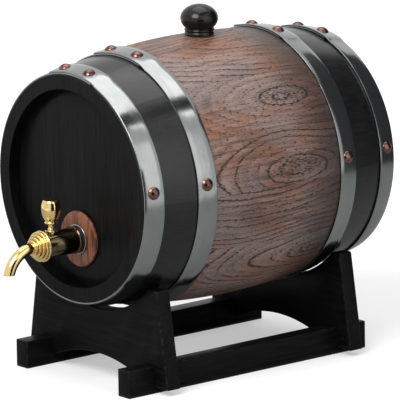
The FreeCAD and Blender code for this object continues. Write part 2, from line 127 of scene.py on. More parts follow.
def smooth_share(value: float, low: float, high: float) -> float:
    """Share from 0 at low to 1 at high, eased at both ends."""
    share = min(1.0, max(0.0, (value - low) / (high - low)))
    return share * share * (3 - 2 * share)


def lathe(profile: Sequence[Pair], rings: int = RINGS, closed: bool = False) -> bmesh.types.BMesh:
    """Turn a profile of (radius, height) about Z.

    Args:
        profile: Points of the profile; a radius of zero lies on the axis.
        rings: Number of steps round the axis.
        closed: True when the last point joins the first, as on a ring.

    Returns:
        The turned mesh, standing on the axis.
    """
    mesh = bmesh.new()
    verts = [mesh.verts.new((radius, 0.0, height)) for radius, height in profile]
    pairs = list(zip(verts, verts[1:])) + ([(verts[-1], verts[0])] if closed else [])
    edges = [mesh.edges.new(pair) for pair in pairs]
    bmesh.ops.spin(mesh, geom=verts + edges, cent=(0, 0, 0), axis=(0, 0, 1),
                   angle=math.tau, steps=rings, use_merge=True)
    bmesh.ops.remove_doubles(mesh, verts=mesh.verts, dist=1e-6)
    bmesh.ops.recalc_face_normals(mesh, faces=mesh.faces)
    return mesh


def rod(radius: float, low: float, high: float, rings: int) -> bmesh.types.BMesh:
    """Round rod about Z, between two heights."""
    return lathe([(0.0, low), (radius, low), (radius, high), (0.0, high)], rings)


def flat_ring(hole: float, radius: float, low: float, high: float,
              rings: int = RINGS) -> bmesh.types.BMesh:
    """Flat ring about Z with a round hole, between two heights."""
    return lathe([(hole, low), (radius, low), (radius, high), (hole, high)], rings, closed=True)


def slab(outline: Sequence[Pair], thickness: float) -> bmesh.types.BMesh:
    """Flat plate cut to an outline in XZ, its thickness along +Y.

    Args:
        outline: Corner points (x, z), in order.
        thickness: Thickness of the plate.

    Returns:
        The closed plate.
    """
    mesh = bmesh.new()
    face = mesh.faces.new([mesh.verts.new((x, 0.0, z)) for x, z in outline])
    grown = bmesh.ops.extrude_face_region(mesh, geom=[face])
    moved = [item for item in grown["geom"] if isinstance(item, bmesh.types.BMVert)]
    bmesh.ops.translate(mesh, verts=moved, vec=(0, thickness, 0))
    bmesh.ops.recalc_face_normals(mesh, faces=mesh.faces)
    return mesh


def soften(mesh: bmesh.types.BMesh, width: float, least: float = 25.0, segments: int = 2) -> None:
    """Round every edge that turns by more than an angle, and mark the rounding as worn.

    Args:
        mesh: Mesh to change.
        width: Width of the rounding.
        least: Smallest turn, in degrees, that counts as an edge.
        segments: Steps across the rounding.
    """
    limit = math.radians(least)
    worn = mesh.faces.layers.float.get("worn") or mesh.faces.layers.float.new("worn")
    edges = [e for e in mesh.edges if len(e.link_faces) == 2 and e.calc_face_angle() > limit]
    made = bmesh.ops.bevel(mesh, geom=edges, offset=width, offset_type="OFFSET", affect="EDGES",
                           segments=segments, profile=0.5, material=-1, clamp_overlap=True)
    for face in made["faces"]:
        if face.is_valid:
            face[worn] = 1.0


def place(mesh: bmesh.types.BMesh, point: Sequence[float], outward: Sequence[float]) -> None:
    """Stand a mesh made along +Z at a point, along an outward direction."""
    turn = Vector(outward).to_track_quat("Z", "Y").to_matrix().to_4x4()
    bmesh.ops.transform(mesh, matrix=Matrix.Translation(point) @ turn, verts=mesh.verts)


def join(meshes: Sequence[bmesh.types.BMesh]) -> bmesh.types.BMesh:
    """Gather several meshes into one, as separate solids."""
    whole = bmesh.new()
    for part in meshes:
        data = bpy.data.meshes.new("part")
        part.to_mesh(data)
        part.free()
        whole.from_mesh(data)
        bpy.data.meshes.remove(data)
    return whole


def centre_of(node: str) -> Vector:
    """Middle of a node's box."""
    low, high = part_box(node)
    return (low + high) / 2


def stand_at(mesh: bmesh.types.BMesh, node: str, height: float) -> bmesh.types.BMesh:
    """Move a mesh made about Z to the middle of a node's box, at a height."""
    middle = centre_of(node)
    bmesh.ops.translate(mesh, verts=mesh.verts, vec=(middle.x, middle.y, height))
    return mesh


def as_object(mesh: bmesh.types.BMesh, name: str) -> bpy.types.Object:
    """Put a mesh into the scene as an object; the mesh is freed here."""
    data = bpy.data.meshes.new(name)
    mesh.to_mesh(data)
    mesh.free()
    made = bpy.data.objects.new(name, data)
    bpy.context.scene.collection.objects.link(made)
    return made


def publish(mesh: bmesh.types.BMesh, name: str, finish: "Finish",
            stands_for: Sequence[str], sharp: float = 38.0) -> bpy.types.Object:
    """Make a shaped mesh into a piece that stands for its nodes.

    Args:
        mesh: The finished mesh, in place; it is freed here.
        name: Name of the piece.
        finish: What it is finished with.
        stands_for: Nodes that it replaces, all on one body.
        sharp: Angle, in degrees, above which an edge shows as sharp.

    Returns:
        The new object.
    """
    piece = as_object(mesh, name)
    data = piece.data
    data.shade_smooth()
    data.set_sharp_from_angle(angle=math.radians(sharp))
    data.materials.append(finish.material())
    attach(piece, frame["nodes"][stands_for[0]]["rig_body"])
    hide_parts(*stands_for)
    log.info("%s: %d faces, for %s", name, len(data.polygons), ", ".join(stands_for))
    return piece


def cut(piece: bpy.types.Object, tool: bmesh.types.BMesh) -> None:
    """Cut a tool's shape out of a piece.

    Args:
        piece: Piece to cut.
        tool: Closed mesh of what is taken away; it is freed here.
    """
    cutter = as_object(tool, "tool")
    hole = piece.modifiers.new("hole", "BOOLEAN")
    hole.operation, hole.solver, hole.object = "DIFFERENCE", "EXACT", cutter
    view = bpy.context.evaluated_depsgraph_get()
    result = bpy.data.meshes.new_from_object(piece.evaluated_get(view))
    piece.modifiers.remove(hole)
    name, piece.data = piece.data.name, result
    result.name = name
    bpy.data.objects.remove(cutter)


# ---- finishes ----------------------------------------------------------------------

class Graph:
    """Short-hand for one material's nodes."""

    def __init__(self, name: str) -> None:
        """Start an empty material."""
        self.material = bpy.data.materials.new(name)
        self.material.use_nodes = True
        self.tree = self.material.node_tree
        self.tree.nodes.clear()

    def add(self, kind: str, inputs: dict, **settings: object) -> bpy.types.Node:
        """Add a node.

        Args:
            kind: Blender's name of the node type.
            inputs: Input name or number to a constant or another node's output.
            settings: Attributes of the node.

        Returns:
            The node.
        """
        node = self.tree.nodes.new(kind)
        for key, value in settings.items():
            setattr(node, key, value)
        for key, value in inputs.items():
            if isinstance(value, bpy.types.NodeSocket):
                self.tree.links.new(value, node.inputs[key])
            else:
                node.inputs[key].default_value = value
        return node

    @staticmethod
    def opaque(value: Value) -> Value:
        """A colour with its alpha added; anything else as it is."""
        return (*value, 1.0) if isinstance(value, tuple) else value

    def math(self, kind: str, *values: Value, clamp: bool = False) -> Socket:
        """Output of a math node."""
        inputs = dict(enumerate(values))
        return self.add("ShaderNodeMath", inputs, operation=kind, use_clamp=clamp).outputs[0]

    def plus(self, first: Value, second: Value, clamp: bool = False) -> Socket:
        """Two numbers added."""
        return self.math("ADD", first, second, clamp=clamp)

    def less(self, first: Value, second: Value, clamp: bool = False) -> Socket:
        """The first number less the second."""
        return self.math("SUBTRACT", first, second, clamp=clamp)

    def times(self, first: Value, second: Value) -> Socket:
        """Two numbers multiplied."""
        return self.math("MULTIPLY", first, second)

    def scaled(self, vector: Socket, factors: Sequence[float]) -> Socket:
        """A vector with each part multiplied."""
        node = self.add("ShaderNodeVectorMath", {0: vector, 1: factors}, operation="MULTIPLY")
        return node.outputs[0]

    def shifted(self, vector: Socket, by: Value) -> Socket:
        """A vector with another added."""
        return self.add("ShaderNodeVectorMath", {0: vector, 1: by}, operation="ADD").outputs[0]

    def noise(self, vector: Socket, scale: float, detail: float = 3.0,
              rough: float = 0.55) -> Socket:
        """Strength of a noise, from 0 to 1."""
        inputs = {"Vector": vector, "Scale": scale, "Detail": detail, "Roughness": rough}
        return self.add("ShaderNodeTexNoise", inputs).outputs[0]

    def drawn_out(self, vector: Socket, share: float, scale: float, detail: float = 3.0,
                  rough: float = 0.55) -> Socket:
        """Strength of a noise that is drawn out along Y; a smaller share draws it further."""
        return self.noise(self.scaled(vector, (1.0, share, 1.0)), scale, detail, rough)

    def ramp(self, value: Socket, low: Value, high: Value, to: Pair = (0.0, 1.0)) -> Socket:
        """A value eased from one range to another."""
        inputs = {0: value, 1: low, 2: high, 3: to[0], 4: to[1]}
        node = self.add("ShaderNodeMapRange", inputs, interpolation_type="SMOOTHSTEP")
        return node.outputs[0]

    def mix(self, share: Value, first: Value, second: Value) -> Socket:
        """Mix of two colours."""
        inputs = {0: share, 6: self.opaque(first), 7: self.opaque(second)}
        return self.add("ShaderNodeMix", inputs, data_type="RGBA").outputs[2]

    def bump(self, height: Socket, depth: float, strength: float = 1.0) -> Socket:
        """Normal from a height, whose full range is depth metres."""
        inputs = {"Height": height, "Distance": depth, "Strength": strength}
        return self.add("ShaderNodeBump", inputs).outputs[0]

    def place(self) -> Socket:
        """The point in the frame, in metres."""
        return self.add("ShaderNodeTexCoord", {}).outputs["Object"]

    def map(self, name: str = "grain") -> Socket:
        """The piece's own map, in metres."""
        return self.add("ShaderNodeUVMap", {}, uv_map=name).outputs[0]

    def mark(self, name: str) -> Socket:
        """A number stored on the mesh."""
        return self.add("ShaderNodeAttribute", {}, attribute_name=name).outputs["Fac"]

    def parts(self, vector: Socket) -> tuple[Socket, Socket, Socket]:
        """X, Y and Z of a vector."""
        node = self.add("ShaderNodeSeparateXYZ", {0: vector})
        return node.outputs[0], node.outputs[1], node.outputs[2]

    def shade(self, **inputs: Value) -> bpy.types.Material:
        """Finish the material with a principled shader.

        Args:
            inputs: Shader inputs, with underscores for spaces.

        Returns:
            The material.
        """
        named = {key.replace("_", " "): self.opaque(value) for key, value in inputs.items()}
        shader = self.add("ShaderNodeBsdfPrincipled", named)
        self.add("ShaderNodeOutputMaterial", {0: shader.outputs[0]})
        return self.material


class Finish:
    """Something a piece is made of or coated with; each builds its material once."""

    made: dict = {}

    def material(self) -> bpy.types.Material:
        """The material of this finish."""
        if self not in Finish.made:
            Finish.made[self] = self.build()
        return Finish.made[self]

    def build(self) -> bpy.types.Material:
        """Build the nodes."""
        raise NotImplementedError


@dataclass(frozen=True)
class StainedOak(Finish):
    """Flat-sawn oak with a grey-brown stain and grey patches of painted sheen, darker towards its
    rear edge.
    """

    rear_edge: float
    pale: Colour = (0.290, 0.180, 0.140)
    dark: Colour = (0.066, 0.034, 0.027)
    red: Colour = (0.245, 0.088, 0.040)
    # Grey of the patches that paint in the sheen of the finish.
    grey: Colour = (0.245, 0.196, 0.186)
    pore: Colour = (0.012, 0.007, 0.006)
    ring_gap: float = 0.0046
    stretch: float = 0.31
    heart: float = 0.110
    # Reach of the darkening towards the rear edge.
    burn: float = 0.056

    def build(self) -> bpy.types.Material:
        """Build the nodes."""
        g = Graph("stained_oak")
        lot = g.mark("lot")
        spread = g.add("ShaderNodeCombineXYZ", {2: g.times(lot, 3.7)}).outputs[0]
        board = g.shifted(g.map(), spread)
        drift = g.drawn_out(board, 0.45, 24.0, 1.0, 0.5)
        shiver = g.drawn_out(board, 0.30, 420.0, 2.0, 0.5)
        wobble = g.plus(g.times(drift, 0.016), g.times(shiver, 0.0016))
        u, v, _ = g.parts(board)
        flat = g.add("ShaderNodeCombineXYZ", {0: u, 1: g.times(v, self.stretch)})
        length = g.add("ShaderNodeVectorMath", {0: flat.outputs[0]},
                       operation="LENGTH").outputs["Value"]
        rings = g.math("DIVIDE", g.plus(length, wobble), self.ring_gap)
        phase = g.math("FRACT", rings)
        late = g.ramp(phase, 0.10, 0.62)
        edge = g.math("ABSOLUTE", g.less(phase, 0.5))
        year = g.plus(g.math("FLOOR", rings), g.times(lot, 17.0))
        luck = g.add("ShaderNodeTexWhiteNoise", {"W": year}, noise_dimensions="1D").outputs[0]
        dash = g.drawn_out(board, 0.20, 1500.0, 1.0, 0.5)
        bold = g.drawn_out(board, 0.4, 60.0, 2.0)
        bold = g.plus(g.times(luck, 0.26), g.times(bold, 0.50))
        narrow = g.math("MINIMUM", g.less(bold, 0.36), 0.070)
        width = g.plus(narrow, g.times(g.less(dash, 0.5), 0.42))
        line = g.less(1.0, g.ramp(g.less(edge, width), 0.0, 0.06), clamp=True)
        near = g.plus(g.ramp(edge, 0.0, 0.36, (0.080, 0.0)),
                      g.ramp(length, 0.003, 0.012, (self.heart, 0.0)))
        pores = g.ramp(g.plus(dash, near), 0.630, 0.680)
        streak = g.drawn_out(board, 0.05, 380.0, 3.0, 0.6)
        patch = g.ramp(g.drawn_out(board, 0.5, 30.0, 2.0), 0.46, 0.68)
        colour = g.mix(g.ramp(streak, 0.30, 0.60), self.dark, self.pale)
        shade = g.ramp(g.drawn_out(board, 0.35, 48.0, 2.0), 0.34, 0.60)
        colour = g.mix(g.times(g.less(1.0, shade), 0.55), colour, self.dark)
        # Painted sheen: grey patches at random places on the belly, standing in for the sheen of
        # its finish.
        painted_sheen = g.ramp(g.noise(g.shifted(g.place(), (0.3, 0.1, 0.7)), 13.0, 2.0), 0.42, 0.62)
        colour = g.mix(g.times(painted_sheen, 0.55), colour, self.grey)
        colour = g.mix(g.times(patch, 0.62), colour, self.red)
        colour = g.mix(g.times(late, 0.20), colour, self.dark)
        colour = g.mix(g.times(line, 0.88), colour, self.pore)
        colour = g.mix(g.times(pores, 0.88), colour, self.pore)
        _, y, _ = g.parts(g.place())
        # Darker towards the rear edge, up to a ragged line.
        ragged = g.plus(y, g.times(g.less(drift, 0.5), 0.030))
        rear_darkening = g.ramp(ragged, self.rear_edge - self.burn, self.rear_edge - 0.004, (0.0, 0.82))
        colour = g.mix(rear_darkening, colour, self.pore)
        height = g.less(g.times(streak, 0.2), g.plus(g.times(pores, 0.6), g.times(line, 0.9)))
        gloss = g.ramp(streak, 0.2, 0.8, (0.40, 0.54))
        return g.shade(Base_Color=colour, Roughness=gloss, Specular_IOR_Level=0.38,
                       Normal=g.bump(height, 0.00014, 0.7))


@dataclass(frozen=True)
class BlackWood(Finish):
    """Open-grained wood under thin satin black paint."""

    along: tuple[float, float, float] = (0.05, 1.0, 1.0)
    black: Colour = (0.0032, 0.0032, 0.0035)
    rubbed: Colour = (0.022, 0.022, 0.022)
    gloss: float = 0.36
    sheen: float = 0.07

    def build(self) -> bpy.types.Material:
        """Build the nodes."""
        g = Graph("black_wood")
        point = g.place()
        grain = g.noise(g.scaled(point, self.along), 620.0, 4.0, 0.65)
        broad = g.noise(point, 22.0, 3.0)
        worn = g.times(g.mark("worn"), g.ramp(g.noise(point, 260.0, 3.0), 0.42, 0.7))
        tone = g.plus(g.ramp(grain, 0.35, 0.8, (0.0, 0.35)), g.times(worn, 0.7), clamp=True)
        colour = g.mix(tone, self.black, self.rubbed)
        rough = g.ramp(broad, 0.25, 0.75, (self.gloss - 0.06, self.gloss + 0.07))
        return g.shade(Base_Color=colour, Roughness=rough, Specular_IOR_Level=self.sheen,
                       Normal=g.bump(grain, 0.00010, 0.55))


@dataclass(frozen=True)
class PlainWood(Finish):
    """Bare or oiled wood with straight grain along one axis."""

    name: str
    pale: Colour
    dark: Colour
    along: tuple[float, float, float]
    scale: float = 260.0
    gloss: float = 0.5

    def build(self) -> bpy.types.Material:
        """Build the nodes."""
        g = Graph(self.name)
        board = g.scaled(g.place(), self.along)
        bands = g.noise(board, self.scale, 4.0, 0.62)
        fine = g.noise(board, self.scale * 6.0, 2.0)
        colour = g.mix(g.ramp(bands, 0.38, 0.62), self.dark, self.pale)
        colour = g.mix(g.ramp(fine, 0.56, 0.72, (0.0, 0.7)), colour, self.dark)
        return g.shade(Base_Color=colour, Roughness=self.gloss, Specular_IOR_Level=0.4,
                       Normal=g.bump(fine, 0.00005, 0.6))


@dataclass(frozen=True)
class BrushedSteel(Finish):
    """Steel strip, brushed along its length."""

    colour: Colour = (0.300, 0.312, 0.308)
    shadow: Colour = (0.215, 0.225, 0.222)
    gloss: float = 0.135

    def build(self) -> bpy.types.Material:
        """Build the nodes."""
        g = Graph("brushed_steel")
        strip = g.map()
        hair = g.noise(g.scaled(strip, (0.012, 1.0, 1.0)), 5200.0, 3.0, 0.6)
        cloud = g.noise(g.scaled(strip, (0.5, 1.0, 1.0)), 60.0, 4.0, 0.6)
        dull = g.plus(g.ramp(cloud, 0.3, 0.75, (0.0, 0.5)),
                      g.ramp(hair, 0.3, 0.7, (-0.15, 0.45)), clamp=True)
        colour = g.mix(dull, self.colour, self.shadow)
        rough = g.plus(g.times(hair, 0.06),
                       g.ramp(cloud, 0.3, 0.7, (self.gloss - 0.03, self.gloss + 0.04)))
        return g.shade(Base_Color=colour, Metallic=1.0, Roughness=rough,
                       Normal=g.bump(hair, 0.000012, 0.35))


@dataclass(frozen=True)
class PolishedMetal(Finish):
    """Polished or plated metal with faint wear."""

    name: str
    colour: Colour
    tarnish: Colour
    gloss: float = 0.08
    cloud_share: float = 0.5

    def build(self) -> bpy.types.Material:
        """Build the nodes."""
        g = Graph(self.name)
        point = g.place()
        cloud = g.noise(point, 240.0, 3.0)
        fine = g.noise(point, 2600.0, 2.0)
        share = g.ramp(cloud, 0.42, 0.78, (0.0, self.cloud_share))
        colour = g.mix(share, self.colour, self.tarnish)
        rough = g.ramp(cloud, 0.3, 0.75, (self.gloss, self.gloss * 1.9))
        return g.shade(Base_Color=colour, Metallic=1.0, Roughness=rough,
                       Normal=g.bump(fine, 0.000006, 0.25))


@dataclass(frozen=True)
class Lacquer(Finish):
    """Gloss black lacquer over turned wood."""

    def build(self) -> bpy.types.Material:
        """Build the nodes."""
        g = Graph("black_lacquer")
        point = g.place()
        turned = g.noise(g.scaled(point, (1.0, 1.0, 6.0)), 120.0, 3.0)
        colour = g.mix(g.ramp(turned, 0.45, 0.8), (0.004, 0.0035, 0.0035),
                       (0.009, 0.007, 0.006))
        rough = g.ramp(turned, 0.3, 0.7, (0.16, 0.24))
        return g.shade(Base_Color=colour, Roughness=rough, Specular_IOR_Level=0.30,
                       Normal=g.bump(turned, 0.00004, 0.3))


@dataclass(frozen=True)
class Rubber(Finish):
    """Matt black rubber."""

    def build(self) -> bpy.types.Material:
        """Build the nodes."""
        g = Graph("black_rubber")
        fine = g.noise(g.place(), 1800.0, 2.0)
        colour = g.mix(fine, (0.010, 0.010, 0.010), (0.024, 0.023, 0.022))
        return g.shade(Base_Color=colour, Roughness=0.7, Specular_IOR_Level=0.3,
                       Normal=g.bump(fine, 0.00002, 0.5))


@dataclass(frozen=True)
class Cork(Finish):
    """Natural cork with dark pits."""

    def build(self) -> bpy.types.Material:
        """Build the nodes."""
        g = Graph("cork")
        point = g.place()
        cells = g.add("ShaderNodeTexVoronoi", {"Vector": point, "Scale": 700.0}).outputs[0]
        pits = g.ramp(g.noise(point, 420.0, 3.0), 0.60, 0.70)
        colour = g.mix(g.ramp(cells, 0.0, 0.6), (0.30, 0.165, 0.075), (0.52, 0.33, 0.17))
        colour = g.mix(pits, colour, (0.09, 0.045, 0.02))
        height = g.less(cells, g.times(pits, 2.0))
        return g.shade(Base_Color=colour, Roughness=0.78, Specular_IOR_Level=0.3,
                       Normal=g.bump(height, 0.0002, 0.6))


BRASS = PolishedMetal("polished_brass", (0.80, 0.61, 0.27), (0.46, 0.31, 0.12), 0.09, 0.5)
COPPER = PolishedMetal("copper", (0.180, 0.098, 0.080), (0.030, 0.014, 0.011), 0.15, 0.95)
# Painted reflection: brass darkened almost to black, standing in for the dark surroundings that
# the tap's body reflects.
BRASS_PAINTED_DARK_REFLECTION = PolishedMetal("dark_brass", (0.110, 0.088, 0.050), (0.03, 0.024, 0.014), 0.10, 0.6)
BRIGHT_STEEL = PolishedMetal("bright_steel", (0.30, 0.30, 0.31), (0.16, 0.16, 0.165), 0.16, 0.5)
RED_WOOD = PlainWood("red_wood", (0.270, 0.095, 0.042), (0.060, 0.020, 0.012),
                     (1.0, 1.0, 0.10), 300.0, 0.40)
BARE_OAK = PlainWood("bare_oak", (0.46, 0.29, 0.15), (0.20, 0.115, 0.055), (1.0, 0.05, 1.0))
STAVE_ENDS = BlackWood((1.0, 0.05, 1.0), gloss=0.27, sheen=0.38)
HEAD_PAINT = BlackWood((1.0, 1.0, 0.05))


# ---- cask --------------------------------------------------------------------------

class Side(Enum):
    """The two ends of the cask, by their direction along Y."""

    FRONT = -1
    REAR = 1


@dataclass
class Cask:
    """Shape shared by everything that is bent round or let into the cask."""

    end_radius: float = 0.083
    end_thickness: float = 0.0105
    bilge_thickness: float = 0.0115
    centre: Vector = field(init=False)
    half_length: float = field(init=False)
    bilge_radius: float = field(init=False)

    def __post_init__(self) -> None:
        """Take the cask's place from its lowest stave and its front head."""
        low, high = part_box("stave_08")
        axis = centre_of("front_head_middle_board").z
        self.centre = Vector((0.0, (low.y + high.y) / 2, axis))
        self.half_length = (high.y - low.y) / 2
        self.bilge_radius = axis - low.z

    def curve(self, y: float, middle: float, end: float) -> float:
        """Radius at y of the long curve from end to middle to end.

        Args:
            y: Distance from the cask's middle.
            middle: Radius at the middle.
            end: Radius at both ends.

        Returns:
            The radius.
        """
        rise = middle - end
        bend = (self.half_length ** 2 + rise ** 2) / (2 * rise)
        return middle - bend + math.sqrt(bend ** 2 - y ** 2)

    def outer(self, y: float) -> float:
        """Radius of the staves' outer face, y from the cask's middle."""
        return self.curve(y, self.bilge_radius, self.end_radius)

    def inner(self, y: float) -> float:
        """Radius of the staves' inner face, y from the cask's middle."""
        return self.curve(y, self.bilge_radius - self.bilge_thickness,
                          self.end_radius - self.end_thickness)

    def face(self, y: float, angle: float, lift: float) -> tuple[Vector, Vector]:
        """Point on the staves' outer face, and the direction away from it.

        Args:
            y: Distance from the cask's middle.
            angle: Angle above +X, in degrees.
            lift: Height of the point off the face.

        Returns:
            The point in the frame, and the outward direction.
        """
        step = 1e-4
        lean = (self.outer(y - step) - self.outer(y + step)) / (2 * step)
        turn = math.radians(angle)
        out = Vector((math.cos(turn), lean, math.sin(turn))).normalized()
        radius = self.outer(y)
        foot = Vector((radius * math.cos(turn), y, radius * math.sin(turn)))
        return self.centre + foot + out * lift, out

    def wrap(self, mesh: bmesh.types.BMesh, lift: "Lift") -> None:
        """Bend a flat strip round the cask.

        Args:
            mesh: Strip with X along it in metres of arc, Y along the cask, Z its height.
            lift: Extra height at each distance along the strip.
        """
        for vert in mesh.verts:
            along, y, height = vert.co
            turn = along / self.bilge_radius
            radius = self.outer(y) + height + lift(along)
            vert.co = self.centre + Vector((radius * math.cos(turn), y,
                                            radius * math.sin(turn)))


@dataclass
class Lift:
    """How a hoop's strip rises where it laps over its own beginning."""

    start: float = 0.0
    ramp: float = 1.0
    height: float = 0.0

    def __call__(self, along: float) -> float:
        """Height at a distance along the strip."""
        return self.height * smooth_share(along, self.start - self.ramp, self.start)


class Coat(Enum):
    """The materials of a stave, by their number on its faces."""

    BELLY = 0
    INSIDE = 1
    BAND = 2
    CHIME = 3


@dataclass
class Staves:
    """Fourteen crozed staves; the top one carries the bung hole."""

    cask: Cask
    finish: Finish
    belly: Pair
    count: int = 14
    chime_depth: float = 0.0105
    croze_width: float = 0.0051
    croze_depth: float = 0.0035
    seam: float = 0.0001
    skin: float = 0.004
    steps: int = 8
    outer_steps: int = 36
    inner_steps: int = 24
    bung_hole: float = 0.018
    bung_taper: float = 0.0024
    taper_length: float = 0.026

    def profile(self) -> list[Pair]:
        """Section of a stave along the cask, as (radius, y) points."""
        cask, half = self.cask, self.cask.half_length
        out, into = half - self.chime_depth, half - self.chime_depth - self.croze_width
        deep = cask.inner(out) + self.croze_depth
        many, few = self.outer_steps, self.inner_steps
        grid = [half * (2 * i / many - 1) for i in range(many + 1)]
        outer = [(cask.outer(y), y) for y in grid]
        rear = [(cask.end_radius - cask.end_thickness, half), (cask.inner(out), out),
                (deep, out), (deep, into)]
        back = [into * (1 - 2 * i / few) for i in range(few + 1)]
        inner = [(cask.inner(y), y) for y in back]
        front = [(radius, -y) for radius, y in reversed(rear)]
        return outer + rear + inner + front

    def blank(self, middle: float) -> bmesh.types.BMesh:
        """One stave about an angle above +X.

        Args:
            middle: Angle of the stave's middle, in degrees.

        Returns:
            The closed stave, in place.
        """
        span = math.tau / self.count
        mesh = bmesh.new()
        start = [mesh.verts.new((radius, y, 0.0)) for radius, y in self.profile()]
        loop = [mesh.edges.new(pair) for pair in zip(start, start[1:] + start[:1])]
        spun = bmesh.ops.spin(mesh, geom=start + loop, cent=(0, 0, 0), axis=(0, -1, 0),
                              angle=span, steps=self.steps)
        bmesh.ops.holes_fill(mesh, edges=loop)
        last = [item for item in spun["geom_last"] if isinstance(item, bmesh.types.BMEdge)]
        bmesh.ops.holes_fill(mesh, edges=last)
        bmesh.ops.recalc_face_normals(mesh, faces=mesh.faces)
        turn = Matrix.Rotation(-(math.radians(middle) - span / 2), 4, "Y")
        bmesh.ops.transform(mesh, matrix=Matrix.Translation(self.cask.centre) @ turn,
                            verts=mesh.verts)
        soften(mesh, self.seam, 60.0, 2)
        mesh.faces.layers.float.remove(mesh.faces.layers.float["worn"])
        return mesh

    def lay_grain(self, mesh: bmesh.types.BMesh, middle: float, index: int) -> None:
        """Map a stave's grain, with the heart of its figure in its own place.

        Args:
            mesh: The stave.
            middle: Angle of its middle, in degrees.
            index: Its number, from the top.
        """
        figure = [(0.012, -0.030), (0.034, 0.060), (0.000, 0.016), (-0.009, 0.015),
                  (0.055, -0.020), (0.004, 0.040), (-0.048, 0.0), (0.010, -0.035),
                  (0.060, 0.020), (-0.006, 0.012), (0.050, -0.050), (0.002, 0.050),
                  (-0.055, 0.010), (-0.004, -0.020)]
        across, along = figure[index % len(figure)]
        lot = mesh.verts.layers.float.new("lot")
        layer = mesh.loops.layers.uv.new("grain")
        for vert in mesh.verts:
            vert[lot] = float(index)
        for face in mesh.faces:
            for loop in face.loops:
                arm = loop.vert.co - self.cask.centre
                turn = math.atan2(arm.z, arm.x) - math.radians(middle)
                turn -= math.tau * round(turn / math.tau)
                flat = math.hypot(arm.x, arm.z)
                loop[layer].uv = (turn * self.cask.bilge_radius - across,
                                  arm.y - along + flat - self.cask.bilge_radius)

    def coat(self, face: bmesh.types.BMFace) -> Coat:
        """What a face of a stave is finished with."""
        middle = face.calc_center_median()
        arm = middle - self.cask.centre
        if math.hypot(arm.x, arm.z) < self.cask.outer(arm.y) - self.skin:
            hidden = abs(arm.y) < self.cask.half_length - self.chime_depth - 0.001
            return Coat.INSIDE if hidden else Coat.CHIME
        return Coat.BELLY if self.belly[0] < middle.y < self.belly[1] else Coat.BAND

    def build(self) -> None:
        """Raise the cask's staves."""
        for index in range(self.count):
            middle = 90.0 - index * 360.0 / self.count
            name = "bung_stave" if index == 0 else f"stave_{index + 1:02d}"
            mesh = self.blank(middle)
            self.lay_grain(mesh, middle, index)
            for face in mesh.faces:
                face.material_index = self.coat(face).value
            piece = publish(mesh, name + "_wood", self.finish, [name], 15.0)
            for finish in (BARE_OAK, STAVE_ENDS, HEAD_PAINT):
                piece.data.materials.append(finish.material())
            if index == 0:
                self.bore(piece)

    def bore(self, piece: bpy.types.Object) -> None:
        """Cut the tapered bung hole through the top stave."""
        top = self.cask.centre.z + self.cask.bilge_radius
        slope = self.bung_taper / 2 / self.taper_length
        radius = self.bung_hole / 2
        rise, drop = 0.004, 0.020
        tool = lathe([(0.0, -drop), (radius - slope * drop, -drop),
                      (radius + slope * rise, rise), (0.0, rise)], 64)
        cut(piece, stand_at(tool, "bung_knob", top))


@dataclass
class Head:
    """One head: three boards with a bevelled rim, let into the croze."""

    cask: Cask
    side: Side
    finish: Finish
    thickness: float = 0.010
    bevel_width: float = 0.009
    bevel_rise: float = 0.002
    rim_edge: float = 0.0105
    tongue: float = 0.005
    croze_depth: float = 0.0035
    gap: float = 0.0003
    joint: float = 0.00012
    bore: float = 0.0124
    reach: float = 0.03

    def profile(self) -> list[Pair]:
        """Section of the head as (radius, distance outwards) points."""
        edge = self.cask.half_length - self.rim_edge
        lip = self.cask.inner(edge) - self.gap
        rim = self.cask.inner(edge) + self.croze_depth - self.gap
        flat = lip - self.bevel_width
        face = edge + self.bevel_rise
        back = face - self.thickness
        near = edge - self.tongue
        bevel = [(flat, face), (flat + 0.0012, face - 0.00008), (flat + 0.0030, face - 0.00045),
                 (lip, edge)]
        return [(0.0, face), *bevel, (rim, edge), (rim, near), (lip - 0.0004, near),
                (flat, back), (0.0, back)]

    def build(self) -> None:
        """Cut the head into its boards and set each in place."""
        middle_low, middle_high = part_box(f"{self.side.name.lower()}_head_middle_board")
        joints = (middle_low.x, middle_high.x)
        for label, low, high in (("left", None, joints[0]), ("middle", *joints),
                                 ("right", joints[1], None)):
            mesh = lathe(self.profile(), 128)
            turn = Matrix.Rotation(-self.side.value * math.pi / 2, 4, "X")
            bmesh.ops.transform(mesh, matrix=Matrix.Translation(self.cask.centre) @ turn,
                                verts=mesh.verts)
            for edge, outward in ((low, -1.0), (high, 1.0)):
                if edge is not None:
                    whole = mesh.verts[:] + mesh.edges[:] + mesh.faces[:]
                    made = bmesh.ops.bisect_plane(mesh, geom=whole, plane_co=(edge, 0, 0),
                                                  plane_no=(outward, 0, 0), clear_outer=True)
                    rim = [e for e in made["geom_cut"] if isinstance(e, bmesh.types.BMEdge)]
                    bmesh.ops.holes_fill(mesh, edges=rim)
            bmesh.ops.recalc_face_normals(mesh, faces=mesh.faces)
            soften(mesh, self.joint, 60.0, 1)
            node = f"{self.side.name.lower()}_head_{label}_board"
            piece = publish(mesh, node + "_painted", self.finish, [node], 20.0)
            if self.side is Side.FRONT and label == "middle":
                tool = rod(self.bore / 2, -self.reach, self.reach, 48)
                place(tool, centre_of("tap_washer"), (0, 1, 0))
                cut(piece, tool)


